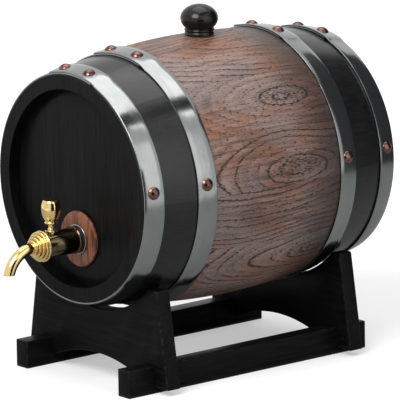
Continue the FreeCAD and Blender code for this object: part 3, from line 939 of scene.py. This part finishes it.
@dataclass
class Hoop:
    """Steel strip bent into a hoop, lapped over the top and riveted."""

    cask: Cask
    node: str
    thickness: float = 0.00125
    seat: float = 0.00005
    edge: float = 0.0003
    steps: int = 288
    lap_start: float = 73.4
    lap_angle: float = 33.0
    ramp_angle: float = 5.0
    rivet_angles: tuple[float, float] = (81.0, 99.5)
    nail_angles: tuple[float, float] = (6.5, 173.5)
    rivet_radius: float = 0.0047
    rivet_height: float = 0.0026
    rivet_skirt: float = 0.00035

    def edges(self) -> Pair:
        """Near and far edge of the strip, from the cask's middle."""
        low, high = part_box(self.node)
        return low.y - self.cask.centre.y, high.y - self.cask.centre.y

    def strip(self) -> bmesh.types.BMesh:
        """The strip, softened at its edges, bent round with its end lapped."""
        near, far = self.edges()
        metres = self.cask.bilge_radius * math.radians(1.0)
        length = (360.0 + self.lap_angle) * metres
        start = self.lap_start * metres
        mesh = bmesh.new()
        bmesh.ops.create_cube(mesh, size=1.0)
        bmesh.ops.scale(mesh, vec=(length, far - near, self.thickness), verts=mesh.verts)
        bmesh.ops.translate(mesh, verts=mesh.verts,
                            vec=(start + length / 2, (near + far) / 2,
                                 self.seat + self.thickness / 2))
        bmesh.ops.bevel(mesh, geom=mesh.edges[:], offset=self.edge, offset_type="OFFSET",
                        affect="EDGES", segments=2, profile=0.5, material=-1)
        long = [e for e in mesh.edges if abs(e.verts[0].co.x - e.verts[1].co.x) > length / 2]
        bmesh.ops.subdivide_edges(mesh, edges=long, cuts=self.steps, use_grid_fill=True)
        wide = [e for e in mesh.edges
                if abs(e.verts[0].co.y - e.verts[1].co.y) > (far - near) / 2]
        bmesh.ops.subdivide_edges(mesh, edges=wide, cuts=3, use_grid_fill=True)
        layer = mesh.loops.layers.uv.new("grain")
        for face in mesh.faces:
            for loop in face.loops:
                loop[layer].uv = (loop.vert.co.x, loop.vert.co.y + loop.vert.co.z)
        lift = Lift(start + 360.0 * metres, self.ramp_angle * metres, self.thickness)
        self.cask.wrap(mesh, lift)
        bmesh.ops.recalc_face_normals(mesh, faces=mesh.faces)
        return mesh

    def rivets(self) -> bmesh.types.BMesh:
        """Two rivets through the lap and a nail on each side."""
        near, far = self.edges()
        top = self.seat + self.thickness
        heads = [(a, top + self.thickness) for a in self.rivet_angles]
        heads += [(a, top) for a in self.nail_angles]
        return join([self.dome((near + far) / 2, angle, lift) for angle, lift in heads])

    def dome(self, y: float, angle: float, lift: float) -> bmesh.types.BMesh:
        """One domed head, standing on the strip."""
        ball = (self.rivet_radius ** 2 + self.rivet_height ** 2) / (2 * self.rivet_height)
        rim = math.degrees(math.asin(self.rivet_radius / ball))
        crown = arc((0.0, self.rivet_height - ball), ball, 90.0 - rim, 90.0, 9)
        skirt = [(0.0, -self.rivet_skirt), (self.rivet_radius, -self.rivet_skirt)]
        mesh = lathe(skirt + crown[:-1] + [(0.0, self.rivet_height)], 40)
        soften(mesh, 0.00022, 30.0, 2)
        point, out = self.cask.face(y, angle, lift)
        place(mesh, point, out)
        return mesh

    def build(self) -> None:
        """Make the hoop and its rivets."""
        name = self.node.replace("_hoop", "")
        publish(self.strip(), name + "_steel_strip", BrushedSteel(), [self.node])
        publish(self.rivets(), name + "_copper_rivets", COPPER,
                [self.node + "_rivets"], 50.0)


@dataclass
class Bung:
    """Turned knob on a cork."""

    knob_base: float = 0.0109
    knob_wide: float = 0.0139
    knob_height: float = 0.0224
    widest: float = 0.0120
    bead: Pair = (0.0026, 0.0048)
    tenon_radius: float = 0.0035
    tenon_length: float = 0.012

    def knob(self) -> bmesh.types.BMesh:
        """Squat ball over a groove, a bead and a flat base."""
        _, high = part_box("bung_knob")
        foot = high.z - self.knob_height
        neck = self.knob_base - 0.0006
        bead = arc_through((neck, self.bead[0]), (self.knob_base + 0.0002, 0.0037),
                           (neck, self.bead[1]), 8)
        under = arc_through((neck, 0.0052), (self.knob_wide - 0.0011, 0.0082),
                            (self.knob_wide, self.widest), 12)
        rise = self.knob_height - self.widest
        over = [(self.knob_wide * math.cos(math.radians(3 * i)),
                 self.widest + rise * math.sin(math.radians(3 * i))) for i in range(1, 30)]
        points = [(0.0, -self.tenon_length), (self.tenon_radius, -self.tenon_length),
                  (self.tenon_radius, 0.0), (self.knob_base, 0.0), (self.knob_base, 0.0018),
                  *bead, *under, *over, (0.0, self.knob_height)]
        mesh = lathe(points)
        soften(mesh, 0.00025, 40.0, 2)
        return stand_at(mesh, "bung_knob", foot)

    def cork(self) -> bmesh.types.BMesh:
        """Tapered cork, softened at both ends, with a socket for the knob's tenon."""
        low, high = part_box("bung_cork")
        top = (high.x - low.x) / 2
        drop = high.z - low.z
        foot = top - 0.0012
        socket = self.tenon_radius + 0.00005
        depth = self.tenon_length + 0.0002
        mesh = lathe([(0.0, -drop), (foot, -drop), (top, 0.0), (socket, 0.0),
                      (socket, -depth), (0.0, -depth)], 72)
        soften(mesh, 0.0006, 40.0, 3)
        return stand_at(mesh, "bung_cork", high.z)

    def build(self) -> None:
        """Make the knob and the cork."""
        publish(self.knob(), "turned_bung_knob", Lacquer(), ["bung_knob"])
        publish(self.cork(), "tapered_cork", Cork(), ["bung_cork"])


# ---- tap ---------------------------------------------------------------------------

@dataclass
class Tap:
    """Brass barrel tap: body, stepped nose, spout and a keg-shaped handle on its key."""

    bore: float = 0.0062
    body_back: float = 0.0103
    body_front: float = 0.0083
    rings: tuple[Pair, ...] = ((0.0115, 0.0025), (0.0110, 0.0024), (0.0094, 0.0021),
                               (0.0076, 0.0020), (0.0058, 0.0022))
    groove: Pair = (0.0006, 0.0009)
    spout_radius: float = 0.0041
    spout_wall: float = 0.0012
    bend_radius: float = 0.022
    bend_angle: float = 72.0
    tip_drop: float = 0.0165
    key_radius: float = 0.0025
    key_bore: float = 0.0035
    port_radius: float = 0.0024
    gland_seat: float = 0.0015
    boss_hole: float = 0.0036
    boss_radius: float = 0.0048
    boss_depth: float = 0.004
    flow: float = 0.003
    spout_seat: float = 0.005
    mouth: Pair = (0.0055, 0.002)
    nut_bore: float = 0.00605
    slack: float = 0.0001
    axis: Vector = field(init=False)

    def __post_init__(self) -> None:
        """Find the tap's axis from its washer."""
        self.axis = centre_of("tap_washer")

    def on_axis(self, mesh: bmesh.types.BMesh) -> bmesh.types.BMesh:
        """Lay a mesh turned about Z on the tap's axis, its heights measured along -Y."""
        turn = Matrix.Rotation(math.pi / 2, 4, "X")
        move = Matrix.Translation((self.axis.x, 0.0, self.axis.z))
        bmesh.ops.transform(mesh, matrix=move @ turn, verts=mesh.verts)
        return mesh

    def ends(self, node: str) -> Pair:
        """Inner and outer end of a node along the tap, measured along -Y."""
        low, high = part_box(node)
        return -high.y, -low.y

    def ring(self, node: str, edge: float) -> bmesh.types.BMesh:
        """Flat ring on the tap's shank, its outer edge rounded."""
        near, far = self.ends(node)
        low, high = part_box(node)
        radius = (high.x - low.x) / 2
        mesh = flat_ring(self.bore, radius, near, far)
        soften(mesh, edge, 40.0, 4)
        return self.on_axis(mesh)

    def nose(self) -> bmesh.types.BMesh:
        """Stepped collar of rounded rings, each smaller than the last."""
        near, _ = self.ends("tap_nose")
        _, start = self.ends("tap_body")
        socket = 0.00545
        points = [(socket, near), (socket, start)]
        y = start
        for number, (radius, width) in enumerate(self.rings):
            land = width - self.groove[0]
            half = land / 2
            crown = [(radius - half + half * math.sin(math.radians(t)) ** 0.8,
                      y + half - half * math.cos(math.radians(t))) for t in range(0, 181, 15)]
            points += crown
            y += width
            if number + 1 < len(self.rings):
                floor = self.rings[number + 1][0] - self.groove[1]
                points += [(floor, y - self.groove[0]), (floor, y)]
        tip = y - self.groove[0]
        seat = tip - self.spout_seat
        inner = self.spout_radius + 0.00005
        points += [(inner, tip), (inner, seat), (self.flow, seat), (self.flow, near)]
        mesh = lathe(points, closed=True)
        return self.on_axis(mesh)

    def body(self) -> bmesh.types.BMesh:
        """Tapered body with a bead at its back and a threaded shank."""
        inner_end, end = self.ends("tap_body")
        _, start = self.ends("tap_gasket")
        shank, back, front = 0.006, self.body_back, self.body_front
        mouth, floor = self.mouth[0], end - self.mouth[1]
        thread = []
        pitch, depth = 0.0015, 0.00045
        turns = int((start - inner_end - 0.002) / pitch)
        for number in range(turns):
            y = inner_end + 0.0008 + number * pitch
            thread += [(shank - depth, y), (shank, y + pitch / 2)]
        points = [(self.flow, inner_end), (shank - 0.0008, inner_end), *thread,
                  (shank, start), (back - 0.0005, start), (back, start + 0.0007),
                  (back - 0.0001, start + 0.0020), (back - 0.0006, start + 0.0025),
                  (front, end - 0.0006), (front - 0.0005, end), (mouth, end),
                  (mouth, floor), (self.flow, floor)]
        mesh = lathe(points, closed=True)
        return self.on_axis(mesh)

    def boss(self) -> bmesh.types.BMesh:
        """Short round boss that the key's gland sits on."""
        low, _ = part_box("tap_gland")
        mesh = flat_ring(self.boss_hole, self.boss_radius, -self.boss_depth, -self.slack, 64)
        soften(mesh, 0.00025, 40.0, 3)
        return stand_at(mesh, "tap_gland", low.z + self.gland_seat)

    def spout(self) -> bmesh.types.BMesh:
        """Bent tube, cut level at its tip and open through its length."""
        near, _ = self.ends("tap_spout")
        start = Vector((self.axis.x, -near, self.axis.z))
        straight, tail = 0.003, 0.012
        below = self.axis.z - self.tip_drop
        mesh = bmesh.new()
        loops = []
        for radius in (self.spout_radius, self.spout_radius - self.spout_wall):
            made = bmesh.ops.create_circle(mesh, segments=56, radius=radius)
            turn = Matrix.Rotation(math.pi / 2, 4, "X")
            bmesh.ops.transform(mesh, matrix=Matrix.Translation(start) @ turn,
                                verts=made["verts"])
            edges = list({e for v in made["verts"] for e in v.link_edges})
            loops.append(edges)
            grown = bmesh.ops.extrude_edge_only(mesh, edges=edges)["geom"]
            ring = [v for v in grown if isinstance(v, bmesh.types.BMVert)]
            bmesh.ops.translate(mesh, verts=ring, vec=(0, -straight, 0))
            edges = [e for e in grown if isinstance(e, bmesh.types.BMEdge)]
            pivot = start + Vector((0, -straight, -self.bend_radius))
            spun = bmesh.ops.spin(mesh, geom=ring + edges, cent=pivot, axis=(1, 0, 0),
                                  angle=math.radians(self.bend_angle), steps=36)
            edges = [e for e in spun["geom_last"] if isinstance(e, bmesh.types.BMEdge)]
            grown = bmesh.ops.extrude_edge_only(mesh, edges=edges)["geom"]
            ring = [v for v in grown if isinstance(v, bmesh.types.BMVert)]
            lean = math.radians(self.bend_angle)
            bmesh.ops.translate(mesh, verts=ring,
                                vec=(0, -tail * math.cos(lean), -tail * math.sin(lean)))
        whole = mesh.verts[:] + mesh.edges[:] + mesh.faces[:]
        made = bmesh.ops.bisect_plane(mesh, geom=whole, plane_co=(0, 0, below),
                                      plane_no=(0, 0, -1), clear_outer=True)
        rim = [e for e in made["geom_cut"] if isinstance(e, bmesh.types.BMEdge)]
        bmesh.ops.bridge_loops(mesh, edges=rim)
        bmesh.ops.bridge_loops(mesh, edges=loops[0] + loops[1])
        bmesh.ops.recalc_face_normals(mesh, faces=mesh.faces)
        soften(mesh, 0.00022, 50.0, 3)
        return mesh

    def handle(self) -> bmesh.types.BMesh:
        """Keg-shaped grip over a ringed neck."""
        low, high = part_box("tap_handle")
        tall = high.z - low.z
        neck, foot, wide, top = 0.0048, 0.0052, (high.x - low.x) / 2, 0.0058
        keg = 0.0022
        ring = arc_through((neck - 0.0006, 0.0), (neck, 0.0008), (neck - 0.0006, 0.0016), 8)
        side = arc_through((foot - 0.0007, keg), (wide, (keg + tall) / 2),
                           (top, tall - 0.0006), 28)
        socket, depth = 0.00252, 0.0096
        points = [(socket, 0.0), *ring, (neck - 0.0008, keg), *side,
                  (top - 0.0006, tall), (0.0, tall), (0.0, depth), (socket, depth),
                  (socket, 0.0001)]
        mesh = lathe(points)
        bmesh.ops.remove_doubles(mesh, verts=mesh.verts, dist=1.2e-4)
        bmesh.ops.recalc_face_normals(mesh, faces=mesh.faces)
        soften(mesh, 0.00022, 50.0, 2)
        return stand_at(mesh, "tap_handle", low.z)

    def key(self) -> bmesh.types.BMesh:
        """Plug and stem of the key, turned in one."""
        low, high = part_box("tap_key")
        _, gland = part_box("tap_gland")
        shoulder = gland.z - 0.0031 - low.z
        plug = (high.x - low.x) / 2
        collar = gland.z - low.z
        stem, waist, tall = self.key_radius, self.key_radius - 0.0004, high.z - low.z
        points = [(0.0, 0.0), (plug, 0.0), (plug, shoulder), (stem, shoulder),
                  (stem, collar + 0.0008), (waist, collar + 0.0012),
                  (waist, collar + 0.0034), (stem, collar + 0.0038), (stem, tall), (0.0, tall)]
        mesh = lathe(points, 64)
        soften(mesh, 0.0002, 40.0, 2)
        return stand_at(mesh, "tap_key", low.z)

    def gland(self) -> bmesh.types.BMesh:
        """Flanged ring round the stem."""
        low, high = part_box("tap_gland")
        tall, flange = high.z - low.z, (high.x - low.x) / 2
        hole, skirt = self.key_radius + 0.00005, 0.00348
        points = [(hole, 0.0), (skirt, 0.0), (skirt, self.gland_seat),
                  (flange, self.gland_seat), (flange, tall), (hole, tall)]
        mesh = lathe(points, 72, closed=True)
        soften(mesh, 0.0004, 40.0, 3)
        return stand_at(mesh, "tap_gland", low.z)

    def port(self) -> bmesh.types.BMesh:
        """Tool for the way through the key's plug."""
        reach = 0.007
        tool = rod(self.port_radius, -reach, reach, 40)
        at = centre_of("tap_key")
        place(tool, (at.x, at.y, self.axis.z), (1, 0, 0))
        return tool

    def lock_nut(self) -> bmesh.types.BMesh:
        """Hexagon nut with its corners chamfered, inside the cask."""
        near, far = self.ends("tap_lock_nut")
        low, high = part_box("tap_lock_nut")
        corner = (high.x - low.x) / 2
        mesh = flat_ring(self.nut_bore, corner, near, far, 6)
        soften(mesh, 0.0004, 40.0, 2)
        return self.on_axis(mesh)

    def build(self) -> None:
        """Make every piece of the tap."""
        publish(self.ring("tap_rosette", 0.0012), "oiled_rosette", RED_WOOD,
                ["tap_rosette"])
        publish(self.ring("tap_washer", 0.0006), "bright_washer", BRIGHT_STEEL,
                ["tap_washer"])
        publish(self.ring("tap_gasket", 0.0004), "rubber_gasket", Rubber(),
                ["tap_gasket"])
        publish(self.ring("tap_backing_gasket", 0.0004), "backing_gasket", Rubber(),
                ["tap_backing_gasket"])
        # The body's brass has its dark reflections painted into its colour.
        barrel = publish(join([self.body(), self.boss()]), "tap_barrel", BRASS_PAINTED_DARK_REFLECTION,
                         ["tap_body"])
        below, above = 0.006, 0.02
        hole = rod(self.key_bore, -below, above, 48)
        cut(barrel, stand_at(hole, "tap_key", self.axis.z))
        publish(self.nose(), "stepped_nose", BRASS, ["tap_nose"], 60.0)
        publish(self.spout(), "bent_spout", BRASS, ["tap_spout"])
        publish(self.lock_nut(), "shank_lock_nut", BRASS, ["tap_lock_nut"])
        publish(self.gland(), "key_gland", BRASS, ["tap_gland"])
        key = publish(self.key(), "key_stem", BRASS, ["tap_key"])
        cut(key, self.port())
        publish(self.handle(), "keg_handle", BRASS, ["tap_handle"])


# ---- stand -------------------------------------------------------------------------

@dataclass
class Stand:
    """Two cradle boards halved over two rails."""

    shoulder_half: float = 0.0694
    board_edge: float = 0.0009
    rail_edge: float = 0.0008
    joint_height: float = 0.0102
    arch_height: float = 0.018
    arch_foot: float = 0.0066
    relief: float = 0.002
    clearance: float = 0.0003
    slack: float = 0.0001

    def board(self, node: str, cask: Cask) -> bmesh.types.BMesh:
        """One cradle board: splayed sides, horns, a saddle, an arch and two slots.

        Args:
            node: The board's node.
            cask: The cask that it carries.

        Returns:
            The board, in place.
        """
        low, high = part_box(node)
        rail_low, rail_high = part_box("right_rail")
        inner, outer = rail_low.x - self.slack, rail_high.x + self.slack
        reach = min(abs(low.y - cask.centre.y), abs(high.y - cask.centre.y))
        seat = cask.outer(reach) + self.clearance
        drop = cask.centre.z - high.z
        horn = math.sqrt(seat ** 2 - drop ** 2)
        saddle = cask.centre.z - seat - self.relief
        slot_top = self.joint_height + self.slack
        right = [(inner, self.arch_foot), (inner, slot_top), (outer, slot_top), (outer, low.z),
                 (high.x, low.z), (self.shoulder_half, high.z), (horn, high.z)]
        left = [(-x, z) for x, z in reversed(right)]
        hollow = arc_through(right[-1], (0.0, saddle), left[0], 40)
        arch = arc_through(left[-1], (0.0, self.arch_height), right[0], 32)
        mesh = slab(right + hollow[1:-1] + left + arch[1:-1], high.y - low.y)
        bmesh.ops.translate(mesh, verts=mesh.verts, vec=(0, low.y, 0))
        soften(mesh, self.board_edge, 25.0, 3)
        return mesh

    def rail(self, node: str) -> bmesh.types.BMesh:
        """One rail on edge, notched from above under both boards."""
        low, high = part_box(node)
        points = [(low.y, 0.0), (high.y, 0.0), (high.y, high.z)]
        for board in ("rear_cradle_board", "front_cradle_board"):
            near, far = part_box(board)
            points += [(far.y + self.slack, high.z), (far.y + self.slack, self.joint_height),
                       (near.y - self.slack, self.joint_height),
                       (near.y - self.slack, high.z)]
        points.append((low.y, high.z))
        mesh = slab(points, high.x - low.x)
        turn = Matrix.Rotation(math.pi / 2, 4, "Z")
        bmesh.ops.transform(mesh, matrix=Matrix.Translation((high.x, 0, 0)) @ turn,
                            verts=mesh.verts)
        soften(mesh, self.rail_edge, 25.0, 3)
        return mesh

    def build(self, cask: Cask) -> None:
        """Make the boards and the rails."""
        across = BlackWood((0.05, 1.0, 1.0))
        lengthwise = BlackWood((1.0, 0.05, 1.0))
        for node in ("front_cradle_board", "rear_cradle_board"):
            publish(self.board(node, cask), node + "_painted", across, [node])
        for node in ("left_rail", "right_rail"):
            publish(self.rail(node), node + "_painted", lengthwise, [node])


# ---- studio ------------------------------------------------------------------------

@dataclass
class Lamp:
    """Soft flat lamp that faces the object."""

    name: str
    azimuth: float
    elevation: float
    distance: float
    size: Pair
    power: float

    def build(self, target: Vector) -> None:
        """Hang the lamp."""
        data = bpy.data.lights.new(self.name, "AREA")
        data.shape = "RECTANGLE"
        data.size, data.size_y = self.size
        data.energy = self.power
        lamp = bpy.data.objects.new(self.name, data)
        bpy.context.scene.collection.objects.link(lamp)
        away = direction(self.azimuth, self.elevation)
        lamp.location = target + away * self.distance
        lamp.rotation_mode = "QUATERNION"
        lamp.rotation_quaternion = away.to_track_quat("Z", "Y")


@dataclass
class Screen:
    """Black or grey card that shows only in reflections, where it gives metal its darks."""

    name: str
    azimuth: float
    elevation: float
    distance: float
    size: Pair
    colour: Colour = (0.012, 0.012, 0.013)

    def build(self, target: Vector) -> None:
        """Stand the card up, facing the object."""
        mesh = bmesh.new()
        bmesh.ops.create_grid(mesh, x_segments=1, y_segments=1, size=0.5)
        bmesh.ops.scale(mesh, vec=(*self.size, 1.0), verts=mesh.verts)
        away = direction(self.azimuth, self.elevation)
        turn = away.to_track_quat("Z", "Y").to_matrix().to_4x4()
        bmesh.ops.transform(mesh, matrix=Matrix.Translation(target + away * self.distance) @ turn,
                            verts=mesh.verts)
        screen = as_object(mesh, self.name)
        g = Graph("black_card")
        card = g.add("ShaderNodeBsdfDiffuse", {"Color": (*self.colour, 1.0)})
        g.add("ShaderNodeOutputMaterial", {0: card.outputs[0]})
        screen.data.materials.append(g.material)
        for kind in ("camera", "diffuse", "shadow", "transmission", "volume_scatter"):
            setattr(screen, "visible_" + kind, False)


def direction(azimuth: float, elevation: float) -> Vector:
    """Unit vector from the object; azimuth 0 is towards -Y and 90 towards +X."""
    turn, rise = math.radians(azimuth), math.radians(elevation)
    return Vector((math.sin(turn) * math.cos(rise), -math.cos(turn) * math.cos(rise),
                   math.sin(rise)))


@dataclass
class Camera:
    """Long lens at the usual three-quarter view of the cask."""

    azimuth: float = 51.02
    elevation: float = 13.11
    distance: float = 5.0
    aim_height: float = 0.110
    aim_along: float = -0.008
    lens: float = 616.1
    sensor: float = 36.0
    clip: Pair = (0.1, 60.0)
    roll: float = -0.91
    shift: Pair = (0.0265, 0.0266)

    def build(self, cask: Cask) -> None:
        """Set up the camera."""
        target = Vector((0.0, cask.centre.y + self.aim_along, self.aim_height))
        back = direction(self.azimuth, self.elevation)
        data = bpy.data.cameras.new("camera")
        data.lens = self.lens
        data.sensor_width = self.sensor
        data.shift_x, data.shift_y = self.shift
        data.clip_start, data.clip_end = self.clip
        camera = bpy.data.objects.new("camera", data)
        bpy.context.scene.collection.objects.link(camera)
        camera.location = target + back * self.distance
        level = (-back).to_track_quat("-Z", "Y").to_matrix().to_4x4()
        tilt = Matrix.Rotation(math.radians(self.roll), 4, "Z")
        camera.matrix_world = Matrix.Translation(camera.location) @ level @ tilt
        bpy.context.scene.camera = camera


@dataclass
class Studio:
    """Plain pale floor under soft lamps, with a white surround and cards for the metal."""

    floor_size: float = 24.0
    floor_colour: Colour = (0.62, 0.62, 0.62)
    floor_cloud: Colour = (0.58, 0.58, 0.58)
    floor_lift: Pair = (0.44, 0.75)
    lift_reach: Pair = (0.2, 0.9)
    surround: float = 0.32
    lamps: tuple[Lamp, ...] = (
        Lamp("key", 22.0, 46.0, 1.6, (0.9, 0.9), 23.0),
        Lamp("side", 92.0, 22.0, 1.7, (1.2, 1.3), 4.0),
        Lamp("top", 180.0, 80.0, 1.6, (2.0, 1.2), 15.0),
    )
    screens: tuple[Screen, ...] = (
        Screen("rear_screen", 161.0, 16.0, 0.6, (0.64, 0.74), (0.085, 0.085, 0.09)),
        Screen("strip_screen", 97.0, 66.0, 1.4, (1.7, 0.34)),
        Screen("front_screen", 59.0, 3.0, 0.46, (0.30, 0.28)),
        Screen("low_screen", 90.0, -90.0, 0.1415, (1.5, 1.5), (0.42, 0.42, 0.42)),
    )

    def floor(self) -> None:
        """Lay the floor."""
        mesh = bmesh.new()
        bmesh.ops.create_grid(mesh, x_segments=1, y_segments=1, size=self.floor_size / 2)
        floor = as_object(mesh, "floor")
        g = Graph("pale_floor")
        cloud = g.noise(g.place(), 3.0)
        colour = g.mix(g.times(cloud, 0.02), self.floor_colour, self.floor_cloud)
        matt = g.add("ShaderNodeBsdfDiffuse", {"Color": colour})
        glow = g.add("ShaderNodeEmission", {"Color": (1, 1, 1, 1)})
        away = g.add("ShaderNodeVectorMath", {0: g.place()}, operation="LENGTH")
        lift = g.ramp(away.outputs["Value"], *self.lift_reach, self.floor_lift)
        rays = g.add("ShaderNodeLightPath", {}).outputs
        seen = g.math("MAXIMUM", g.math("MAXIMUM", rays["Is Camera Ray"], rays["Is Glossy Ray"]),
                      rays["Is Transmission Ray"])
        g.tree.links.new(g.times(seen, lift), glow.inputs["Strength"])
        both = g.add("ShaderNodeAddShader", {0: matt.outputs[0], 1: glow.outputs[0]})
        g.add("ShaderNodeOutputMaterial", {0: both.outputs[0]})
        floor.data.materials.append(g.material)

    def surroundings(self) -> None:
        """White to the eye and in reflections, gentler as a light."""
        world = bpy.data.worlds.new("surround")
        bpy.context.scene.world = world
        world.use_nodes = True
        tree = world.node_tree
        tree.nodes.clear()
        rays = tree.nodes.new("ShaderNodeLightPath").outputs
        seen = rays["Is Camera Ray"]
        for name in ("Is Glossy Ray", "Is Transmission Ray"):
            either = tree.nodes.new("ShaderNodeMath")
            either.operation = "MAXIMUM"
            tree.links.new(seen, either.inputs[0])
            tree.links.new(rays[name], either.inputs[1])
            seen = either.outputs[0]
        strength = tree.nodes.new("ShaderNodeMapRange")
        strength.inputs["To Min"].default_value = self.surround
        tree.links.new(seen, strength.inputs["Value"])
        back = tree.nodes.new("ShaderNodeBackground")
        back.inputs["Color"].default_value = (1, 1, 1, 1)
        tree.links.new(strength.outputs[0], back.inputs["Strength"])
        out = tree.nodes.new("ShaderNodeOutputWorld")
        tree.links.new(back.outputs[0], out.inputs[0])

    def build(self, target: Vector) -> None:
        """Set up the floor, the surround, the lamps and the cards."""
        self.floor()
        self.surroundings()
        for fitting in (*self.lamps, *self.screens):
            fitting.build(target)
        settings = bpy.context.scene.view_settings
        settings.view_transform = "Standard"


def main() -> None:
    """Build the cask, its tap and its stand, then the studio."""
    logging.basicConfig(level=logging.INFO, format="%(name)s: %(message)s")
    cask = Cask()
    Camera().build(cask)
    Studio().build(cask.centre)
    hoops = [Hoop(cask, f"{side.name.lower()}_{place}_hoop") for side in Side
             for place in ("head", "quarter")]
    middles = {hoop.node: centre_of(hoop.node).y for hoop in hoops}
    belly = (middles["front_quarter_hoop"], middles["rear_quarter_hoop"])
    Staves(cask, StainedOak(belly[1]), belly).build()
    for side in Side:
        Head(cask, side, HEAD_PAINT).build()
    for hoop in hoops:
        hoop.build()
    for node in ("front_head_dowels", "rear_head_dowels"):
        data = frame["nodes"][node].data
        data.materials.clear()
        data.materials.append(BARE_OAK.material())
    Bung().build()
    Tap().build()
    Stand().build(cask)


if __name__ == "__main__":
    main()
